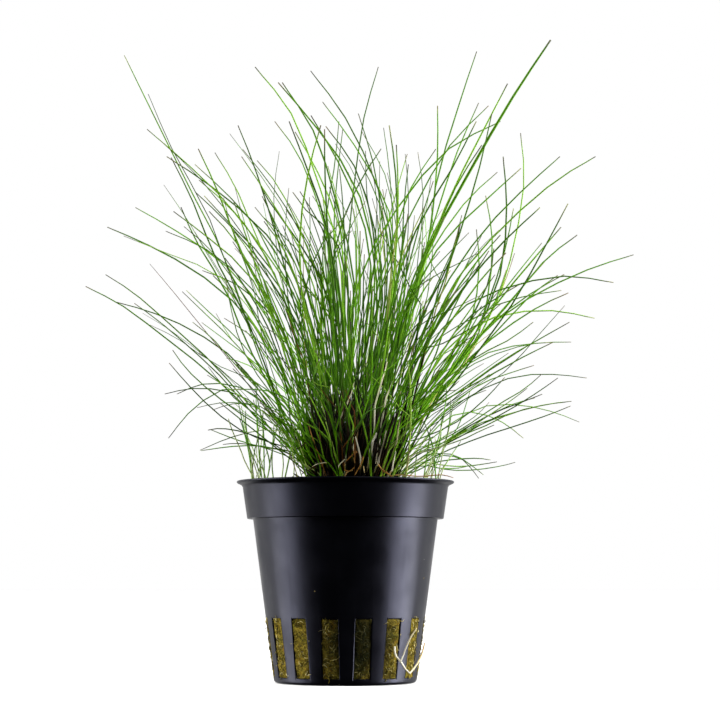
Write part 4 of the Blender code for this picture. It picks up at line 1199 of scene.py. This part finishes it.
class HAIRGRASS_OT_rockwool(bpy.types.Operator):
    """Build the rockwool plug, lumpy all over, and the loose fibres that stand out from it"""

    bl_idname = "hairgrass.rockwool"
    bl_label = "Rockwool"

    def execute(self, context):
        settings = context.scene.hairgrass_pot
        foot = FLOOR + GAP
        ends = (foot, WOOL_TOP - WOOL_CHAMFER)
        foot_radius, top_radius = (body_radius(z) - WALL - WOOL_CLEARANCE for z in ends)
        middle = (0, 0, (WOOL_TOP + foot) / 2 * MM)
        cylinder = {"vertices": WOOL_COLUMNS, "radius": foot_radius * MM, "depth": (WOOL_TOP - foot) * MM}
        wool = start_piece("rockwool", bpy.ops.mesh.primitive_cylinder_add, location=middle, **cylinder)
        bpy.ops.object.transform_apply(location=True)
        edit(wool, "FACE")
        pick(wool, "faces", lambda face: face.normal.z > FACES_UP)
        scale = top_radius / foot_radius
        bpy.ops.transform.resize(value=(scale, scale, 1))
        bpy.ops.mesh.select_mode(type="EDGE")
        pick(wool, "edges", lambda edge: abs(edge.verts[0].co.z - edge.verts[1].co.z) > WOOL_TOP / 2 * MM)
        bpy.ops.mesh.subdivide(number_cuts=WOOL_ROWS - 1)
        bpy.ops.mesh.select_mode(type="FACE")
        for end in (-1, 1):
            pick(wool, "faces", lambda face: face.normal.z * end > FACES_UP)
            for _ in range(WOOL_RINGS):
                bpy.ops.mesh.inset(thickness=top_radius / (WOOL_RINGS + 1) * MM)
        bpy.ops.object.mode_set(mode="OBJECT")
        self.push_into_slots(wool)
        make_lumpy(wool, settings.lump_size, settings.lump_depth, 1.0)
        finish_piece(wool, wet_rockwool(settings), "rockwool", "rockwool_plug")
        self.loose_fibres(settings.fibres)
        return {"FINISHED"}

    def push_into_slots(self, wool):
        """Bulge the wool out through each wall slot, most at its middle."""
        bulge = wool.vertex_groups.new(name="In slots")
        for k in range(SLOTS):
            out, across = slot_direction(k)
            for vertex in wool.data.vertices:
                beside = SLOT_WIDTH / 2 + BULGE_EASE - abs(vertex.co.dot(across)) / MM
                ends = min(vertex.co.z / MM - SLOT_FOOT, SLOT_TOP - vertex.co.z / MM) + BULGE_EASE
                if vertex.co.dot(out) > 0 and beside > 0 and ends > 0:
                    share = min(1, beside / BULGE_EASE, ends / BULGE_EASE)
                    bulge.add([vertex.index], share * (2 - share), "REPLACE")
        out_by = {"direction": "NORMAL", "mid_level": 0, "strength": BULGE * MM}
        apply_modifier(wool, "DISPLACE", vertex_group=bulge.name, **out_by)
        wool.vertex_groups.clear()

    def loose_fibres(self, count):
        """Short curved fibres: three in four across the wall slots, the others on top of the plug."""
        chance = random.Random(SEED + 1)
        controls = []
        for i in range(count):
            if i % 4:
                out, across = slot_direction(chance.randrange(SLOTS))
                z = chance.uniform(SLOT_FOOT, SLOT_TOP)
                sideways = chance.uniform(-FIBRE_ASIDE, FIBRE_ASIDE) * SLOT_WIDTH
                sunk = chance.uniform(0.1, 0.6) + 0.4 * (abs(sideways) / SLOT_WIDTH * 2) ** 3
                radius = body_radius(z) - WALL - WOOL_CLEARANCE + BULGE - sunk
                start = out * math.sqrt(radius**2 - sideways**2) + across * sideways + Vector((0, 0, z))
            else:
                turn = chance.uniform(0, math.tau)
                radius = FIBRE_REACH * math.sqrt(chance.random())
                out = Vector((0, 0, 1))
                across = Vector((math.cos(turn), math.sin(turn), 0))
                start = across * radius + out * (WOOL_TOP - chance.uniform(0.2, 0.9))
            around = out.cross(across)
            way = chance.uniform(0, math.tau)
            run = (across * math.cos(way) + around * math.sin(way)) * chance.uniform(*FIBRE_LENGTH)
            bend = (around * math.cos(way) - across * math.sin(way)) * chance.gauss(0, FIBRE_BEND)
            lift = out * abs(chance.gauss(0.1, 0.2))
            controls.append([start, start + run * 0.6 + lift + bend, start + run * 1.3 + lift * 0.7 + bend])
        marks = {"shade": [chance.random() ** 1.3 for _ in controls]}
        radii = tapered(count, FIBRE_RADIUS, shares=FIBRE_RINGS)
        fibres = strand_mesh("rockwool_fibres", smooth(controls, FIBRE_RINGS), radii, marks, FIBRE_SIDES)
        finish_piece(fibres, wool_fibre(), "rockwool")


class HAIRGRASS_OT_root_mat(bpy.types.Operator):
    """Build the crown: a lumpy mat of rhizomes, with dead sheaths standing on it"""

    bl_idname = "hairgrass.root_mat"
    bl_label = "Root Mat"

    def execute(self, context):
        centre = (0, 0, CROWN_FOOT * MM)
        sphere = {"segments": CROWN_COLUMNS, "ring_count": CROWN_ROWS, "radius": CROWN_RADIUS * MM}
        mat = start_piece("root_mat", bpy.ops.mesh.primitive_uv_sphere_add, location=centre, **sphere)
        bpy.ops.object.transform_apply(location=True)
        edit(mat, "FACE")
        bpy.ops.transform.resize(value=(1, 1, CROWN_HEIGHT / CROWN_RADIUS), center_override=centre)
        bpy.ops.mesh.bisect(plane_co=centre, plane_no=(0, 0, 1), use_fill=True, clear_inner=True)
        bpy.ops.object.mode_set(mode="OBJECT")
        make_lumpy(mat, CROWN_LUMP * MM, CROWN_LUMP_DEPTH * MM, 0.6)
        finish_piece(mat, rotted_mat(), "root_mat", "root_crown")
        self.dead_sheaths(context.scene.hairgrass_tuft.old_sheaths)
        return {"FINISHED"}

    def dead_sheaths(self, count):
        """Dark dead sheaths packed upright between the shoots, their near black partly painted shade of the
        dense core, and some fallen over the crown's edge.
        """
        chance = random.Random(SEED + 2)
        controls = []
        for k in range(count):
            turn = chance.uniform(0, math.tau)
            out = chance.random() ** 0.35
            across = np.array((math.cos(turn), math.sin(turn), 0))
            foot = across * out * DEAD_REACH + (DEAD_SHIFT, 0, 0)
            lean = DEAD_LEAN * out + chance.gauss(0, math.radians(4))
            length = chance.uniform(*DEAD_LENGTH) * (1.1 - 0.45 * out)
            if k % FALLEN == 0:
                foot = across * CROWN_RADIUS * chance.uniform(0.7, 0.98)
                lean = math.radians(chance.uniform(*FALLEN_LEAN))
                length = chance.uniform(*FALLEN_LENGTH)
            foot[2] = crown_top(math.hypot(foot[0], foot[1])) - SUNK
            rise = (across * math.sin(lean) + (0, 0, math.cos(lean))) * length
            sag = np.array([chance.gauss(0, 0.5) for _ in range(3)])
            controls.append([foot, foot + rise * 0.35, foot + rise * 0.7 + sag * 0.5, foot + rise + sag])
        shades = np.array([chance.random() ** 1.5 for _ in range(count)])
        radii = np.array([chance.uniform(*DEAD_RADIUS) for _ in range(count)]) * (1.05 - 0.6 * shades)
        radii = tapered(count, radii, 1.2, 0.3)
        sheaths = strand_mesh("dead_sheaths", smooth(controls), radii, {"shade": shades})
        finish_piece(sheaths, dead_sheath_and_shade(), "root_mat")


def within(value, most):
    """The value, or the nearest to it between -most and most."""
    return min(most, max(-most, value))


def traced_strands(name, table, place):
    """A mesh of the strands of a table. place is their depth at the lip's height, and its growth with height.

    A strand that hangs starts inside the tuft. One that shows only well above the lip goes on down to the
    crown, and the others go on down to the rockwool.
    """
    depth, lean = place
    paths, radii, shades, feet = [], [], [], []
    for radius, low, high, *points in table:
        (x, z), (next_x, next_z) = points[:2]
        seen = [seen_at(x, z, depth - lean * (z - POT_HEIGHT)) for x, z in points]
        foot = NO_FOOT
        if next_z <= z:
            seen.insert(0, seen_at(x, z - SUNK, depth - lean * (z - POT_HEIGHT) + HANGS_FROM))
        elif z > POT_HEIGHT + SHOWN_ABOVE:
            inner = TUFT_SHIFT + within(INNER_SHARE * (x - TUFT_SHIFT), INNER_REACH)
            seen.insert(0, np.array((inner, seen[0][1] * 0.4, CROWN_FOOT + 2)))
            foot = float(lengths(seen[1] - seen[0]))
        else:
            aside = (x - next_x) / (next_z - z) * (z - WOOL_TOP)
            seen.insert(0, seen_at(x + within(aside, MOST_ASIDE), WOOL_TOP - SUNK, depth))
        paths.append(smooth([seen]))
        radii.append(tapered(1, radius, tip=0.6))
        shades.append(np.interp(RINGS, (0, 1), (low, high)))
        feet.append(foot)
    marks = {"shade": shades, "foot": feet, "outer": [0.0] * len(table)}
    return strand_mesh(name, np.concatenate(paths), np.concatenate(radii), marks)


def foot_near(root, spread, chance):
    """A place on the crown, or on the wool beside it, near this root."""
    x, y = (root[k] + chance.gauss(0, spread) for k in range(2))
    radius = math.hypot(x, y)
    if math.hypot(root[0], root[1]) < CROWN_RADIUS:
        inside = min(1, FOOT_REACH * chance.uniform(0.75, 1) / radius)
        x, y = x * inside + TUFT_SHIFT, y * inside
        return np.array((x, y, crown_top(math.hypot(x, y)) - SUNK))
    inside = min(1, WOOL_REACH / radius)
    return np.array((x * inside, y * inside, WOOL_TOP - 0.5))


def grows_free(points):
    """Whether a culm through these points rises steadily at first, and passes over the lip."""
    path = smooth([points])[0]
    rising = np.diff([point[2] for point in points[:6]]).min() > 0
    return rising and all(z > CLEAR_HEIGHT or math.hypot(x, y) < CLEAR_RADIUS for x, y, z in path)


def in_reach(tip):
    """Whether a tip stays within the reach of the solids."""
    low, high = CAD_BOX
    return all(low[k] < tip[k] * MM < high[k] for k in range(3))


def culm_points(root, start, way, tip, spread, chance, kept=0.0):
    """Points along a culm: up from a foot near the shoot's root, then along its arc, wandering a little.

    kept is the share of the foot's distance from the root that the culm keeps up to its tip.
    """
    foot = foot_near(root, spread, chance)
    aside = foot - root
    aside[2] = 0
    fine = arc(start, way, tip, ARC_STEPS)
    reach = lengths(tip - start)
    points = [foot, foot + (fine[0] + aside - foot) * 0.5 + (0, 0, 0.5)]
    for k in ARC_POINTS:
        wander = np.array([chance.gauss(0, WANDER) * reach for _ in range(3)]) * (k < ARC_STEPS)
        points.append(fine[k] + aside * (kept + (1 - kept) * (1 - k / ARC_STEPS) ** 2) + wander)
    return points


def foot_length(points, chance):
    """Length of a culm's sheathed foot, and 1 if it is pale: dark inside the core, as dark brown sheath and
    painted shade of the dense core, pale beside it.
    """
    path = smooth([points], np.linspace(0, 1, 41))[0]
    run = far_along(path)
    blur = chance.uniform(-1.5, 1)
    beside = (path[:, 0] < SHADED_CORE_LEFT - blur) | (path[:, 0] > SHADED_CORE_RIGHT + blur)
    inside = run[np.argmax(beside)] if beside.any() else run[-1]
    if inside < LEAST_DARK_AND_SHADED or chance.random() < 0.04:
        return chance.uniform(*PALE_FEET), 1.0
    return min(inside * 1.1, chance.uniform(*DARK_AND_SHADED_FEET)), 0.0


def fine_culms(root, top, paths, radius, fan, chance, extras, spread, usual):
    """(points, radius, shade) of a shoot's culms: those of its solid, then others between and beside them.

    usual is the commonest length of the others, as a share of the leader's. Culms in the middle are darker,
    as painted shade of the tuft's dense middle.
    """
    # Culms of shoots that end near the axis are darker: painted shade of the tuft's middle
    shaded_depth = 1 - min(1, abs(paths[0][-1][0]) / SHADED_DEPTH_REACH)
    grown = []
    for path in paths:
        points = culm_points(root, path[0], path[len(path) // 2], path[-1], spread, chance)
        shade = 0.1 + 0.7 * chance.random() ** (0.7 + 1.2 * shaded_depth)
        grown.append((points, radius * chance.uniform(*LEADER_SIZE), shade))
    while len(grown) < len(paths) + extras:
        leader = chance.choice(paths[: max(2, len(paths) - 1)])
        share = chance.triangular(0.25, 1.0, usual)
        stray = 1.0
        if chance.random() < STRAYS:
            stray = STRAY_FAN
            share *= STRAY_LENGTH
        fine = arc(leader[0], leader[len(leader) // 2], leader[-1], ARC_STEPS)
        tip, way = (fine[int(share * step)] - root for step in (ARC_STEPS, ARC_STEPS // 2))
        arm = turned_away(tip, fan * stray * (1.9 - share), chance)
        lean = Vector(tip).rotation_difference(Vector(arm))
        way = turned_away(np.array(lean @ Vector(way)), WAY_ANGLE, chance)
        points = culm_points(root, top, root + way, root + arm, spread * 2, chance, chance.random())
        if arm[2] > LEAST_RISE * lengths(arm) and in_reach(root + arm) and grows_free(points):
            shade = chance.random() ** (0.8 + 1.6 * shaded_depth)
            grown.append((points, radius * chance.uniform(*EXTRA_SIZE), shade))
    return grown


class HAIRGRASS_OT_culms(bpy.types.Operator):
    """Build the shoots, each a bunch of thin culms growing close together"""

    bl_idname = "hairgrass.culms"
    bl_label = "Culms"

    def execute(self, context):
        settings = context.scene.hairgrass_tuft
        grown, young = hairgrass_culm(), young_culm()
        chance = random.Random(SEED + 3)
        for name, root, top, paths in plan():
            small = name.startswith("plantlet")
            rise = (paths[0][-1][2] - POT_HEIGHT) / FULL_RISE
            rightward = within(paths[0][-1][0] / SIDE_REACH, 1)
            thinner = max(THINNER_RIGHT * rightward, -THINNER_LEFT * rightward)
            share = min(1.3, max(0, rise * 1.6 - 0.65)) * (1 - thinner)
            extras = YOUNG_EXTRAS if small else round(settings.extra_culms * share)
            spread = YOUNG_SPREAD if small else FOOT_SPREAD
            radius = settings.culm_radius / MM * min(1, max(0.7, 0.5 + 0.5 * rise))
            usual = 0.7 - 0.3 * rightward
            culms = fine_culms(root, top, paths, radius, settings.fan_angle, chance, extras, spread, usual)
            if name == THICKEST:
                culms[0] = (culms[0][0], *THICKEST_LOOKS)
            points, sizes, shades = zip(*culms)
            feet, outer = zip(*(foot_length(culm, chance) for culm in points))
            marks = {"shade": shades, "foot": feet, "outer": outer}
            radii = tapered(len(culms), np.array(sizes))
            kind = "young_culms" if small else "culms"
            piece = strand_mesh(f"{kind}_{name[-2:]}", smooth(points), radii, marks)
            finish_piece(piece, young if small else grown, "pale_culm" if small else "culm", name)
        finish_piece(traced_strands("front_culms", FRONT_CULMS, FRONT_PLACE), grown, "culm")
        finish_piece(traced_strands("inner_culms", INNER_CULMS, INNER_PLACE), grown, "culm")
        finish_piece(traced_strands("rim_culms", RIM_CULMS, RIM_PLACE), young, "pale_culm")
        return {"FINISHED"}


class HAIRGRASS_OT_loose_roots(bpy.types.Operator):
    """Build the root that has grown out through the slots, and the old strands in front of the crown"""

    bl_idname = "hairgrass.loose_roots"
    bl_label = "Loose Roots"

    def execute(self, context):
        material = dry_root()
        paths = np.concatenate([smooth([ROOT_STEM]), smooth([ROOT_BRANCH])])
        radii = tapered(2, np.array(ROOT_RADII), 1.1, 0.6)
        shades = [np.interp(RINGS, (0, 0.5, 1), (0.0, 0.05, 0.5)), np.interp(RINGS, (0, 1), (0.0, 0.2))]
        piece = strand_mesh("straw_root", paths, radii, {"shade": shades})
        finish_piece(piece, material, "straw_root", "escaped_root")
        finish_piece(traced_strands("old_strands", OLD_STRANDS, FRONT_PLACE), material, "straw_root")
        return {"FINISHED"}


class HAIRGRASS_OT_studio(bpy.types.Operator):
    """Set up the pale floor, the soft lights and the camera"""

    bl_idname = "hairgrass.studio"
    bl_label = "Studio"

    def execute(self, context):
        settings = context.scene.hairgrass_studio
        self.lay_floor(settings.floor)
        self.set_world(context.scene)
        for name, turn, width, share in SIDE_LIGHTS:
            self.hang_light(name, turn, width, share * settings.side_light)
        self.hang_top_light(settings.top_light)
        self.set_camera(context.scene, settings.lens)
        context.scene.view_settings.view_transform = "Standard"
        context.scene.view_settings.look = "None"
        return {"FINISHED"}

    def lay_floor(self, paper):
        floor = start_piece("studio_floor", bpy.ops.mesh.primitive_plane_add, size=6)
        edit(floor, "FACE")
        bpy.ops.mesh.subdivide(number_cuts=3)
        bpy.ops.object.mode_set(mode="OBJECT")
        made, inputs, links, node, place = new_material("matt white paper", 0.95, 0.1)
        fleck = node("TexNoise", {"Vector": place, "Scale": per(2), "Detail": 2.0})["Fac"]
        reach = {"From Min": 0.3, "From Max": 0.7, "To Max": 0.02}
        share = node("MapRange", EASED | {"Value": fleck} | reach)[0]
        links.new(node("Mix", MIXED | {0: share, 6: paper, 7: colour("#e8e8e6")})[2], inputs["Base Color"])
        floor.data.materials.append(made)
        floor.visible_glossy = False
        floor.visible_diffuse = False
        floor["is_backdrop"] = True

    def set_world(self, scene):
        """White behind the object, dark in front of it, and plain white where the camera sees it."""
        scene.world = bpy.data.worlds.new("studio")
        scene.world.use_nodes = True
        tree = scene.world.node_tree
        node = partial(add_node, tree)
        way = node("SeparateXYZ", {"Vector": node("TexCoord", {})["Generated"]})["Y"]
        back = node("Math", {"operation": "MULTIPLY_ADD", 0: way, 1: 0.5, 2: 0.5})[0]
        stops = ((0, "#0c0c0e"), (0.5, "#141416"), (0.8, "#3e4046"), (0.89, "#7c7f86"), (0.95, "#ffffff"))
        glow = node("ValToRGB", {"Fac": back, "stops": stops})[0]
        shown = node("Mix", MIXED | {0: node("LightPath", {})["Is Camera Ray"], 6: glow, 7: (1, 1, 1, 1)})[2]
        tree.links.new(shown, tree.nodes["Background"].inputs["Color"])

    def hang_light(self, name, turn, width, brightness):
        """A tall soft light, this many degrees round from the camera, facing the object."""
        lamp = bpy.data.lights.new(name, "AREA")
        lamp.shape = "RECTANGLE"
        lamp.size, lamp.size_y = width, LIGHT_HEIGHT
        lamp.energy = brightness * math.pi * width * LIGHT_HEIGHT
        angle = math.radians(turn)
        obj = bpy.data.objects.new(name, lamp)
        obj.location = (math.sin(angle) * LIGHT_DISTANCE, -math.cos(angle) * LIGHT_DISTANCE, LIGHT_MIDDLE)
        facing = Vector((-obj.location.x, -obj.location.y, 0))
        obj.rotation_euler = facing.to_track_quat("-Z", "Y").to_euler()
        bpy.context.scene.collection.objects.link(obj)

    def hang_top_light(self, strength):
        """Even light from a wide patch of sky above and a little to the left."""
        lamp = bpy.data.lights.new("top light", "SUN")
        lamp.energy = strength
        lamp.angle = TOP_LIGHT_ANGLE
        obj = bpy.data.objects.new("top light", lamp)
        obj.rotation_euler = (0, -TOP_LIGHT_TILT, 0)
        obj.visible_glossy = False
        bpy.context.scene.collection.objects.link(obj)

    def set_camera(self, scene, lens):
        """A camera at half the pot's height, tilted up to hold the whole plant."""
        camera = bpy.data.cameras.new("camera")
        camera.lens = lens
        camera.sensor_width = SENSOR
        eye = bpy.data.objects.new("camera", camera)
        eye.location = (FRAME_MIDDLE[0] * MM, -EYE_DISTANCE * MM, EYE_HEIGHT * MM)
        rise = math.atan2(FRAME_MIDDLE[1] - EYE_HEIGHT, EYE_DISTANCE)
        eye.rotation_euler = (math.pi / 2 + rise, 0, 0)
        scene.collection.objects.link(eye)
        scene.camera = eye


class HAIRGRASS_PT_panel(bpy.types.Panel):
    """The hairgrass's pieces and settings"""

    bl_idname = "HAIRGRASS_PT_panel"
    bl_label = "Potted Dwarf Hairgrass"
    bl_space_type = "VIEW_3D"
    bl_region_type = "UI"
    bl_category = "Hairgrass"

    def draw(self, context):
        for operator in OPERATORS:
            self.layout.operator(operator.bl_idname)
        for name in SETTINGS:
            group = getattr(context.scene, name)
            column = self.layout.column(align=True)
            for key in group.__annotations__:
                column.prop(group, key)


SETTINGS = {
    "hairgrass_pot": HairgrassPotSettings,
    "hairgrass_tuft": HairgrassTuftSettings,
    "hairgrass_studio": HairgrassStudioSettings,
}
OPERATORS = (
    HAIRGRASS_OT_net_pot,
    HAIRGRASS_OT_rockwool,
    HAIRGRASS_OT_root_mat,
    HAIRGRASS_OT_culms,
    HAIRGRASS_OT_loose_roots,
    HAIRGRASS_OT_studio,
)
CLASSES = (*SETTINGS.values(), *OPERATORS, HAIRGRASS_PT_panel)


def register():
    for kind in CLASSES:
        bpy.utils.register_class(kind)
    for name, kind in SETTINGS.items():
        setattr(bpy.types.Scene, name, bpy.props.PointerProperty(type=kind))


def unregister():
    for name in SETTINGS:
        delattr(bpy.types.Scene, name)
    for kind in reversed(CLASSES):
        bpy.utils.unregister_class(kind)


def main():
    register()
    for operator in OPERATORS:
        group, name = operator.bl_idname.split(".")
        getattr(getattr(bpy.ops, group), name)()
    boxes = {"cad": CAD_BOX, "visual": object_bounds()}
    {key: [list(corner) for corner in box] for key, box in boxes.items()}


if __name__ == "__main__":
    main()
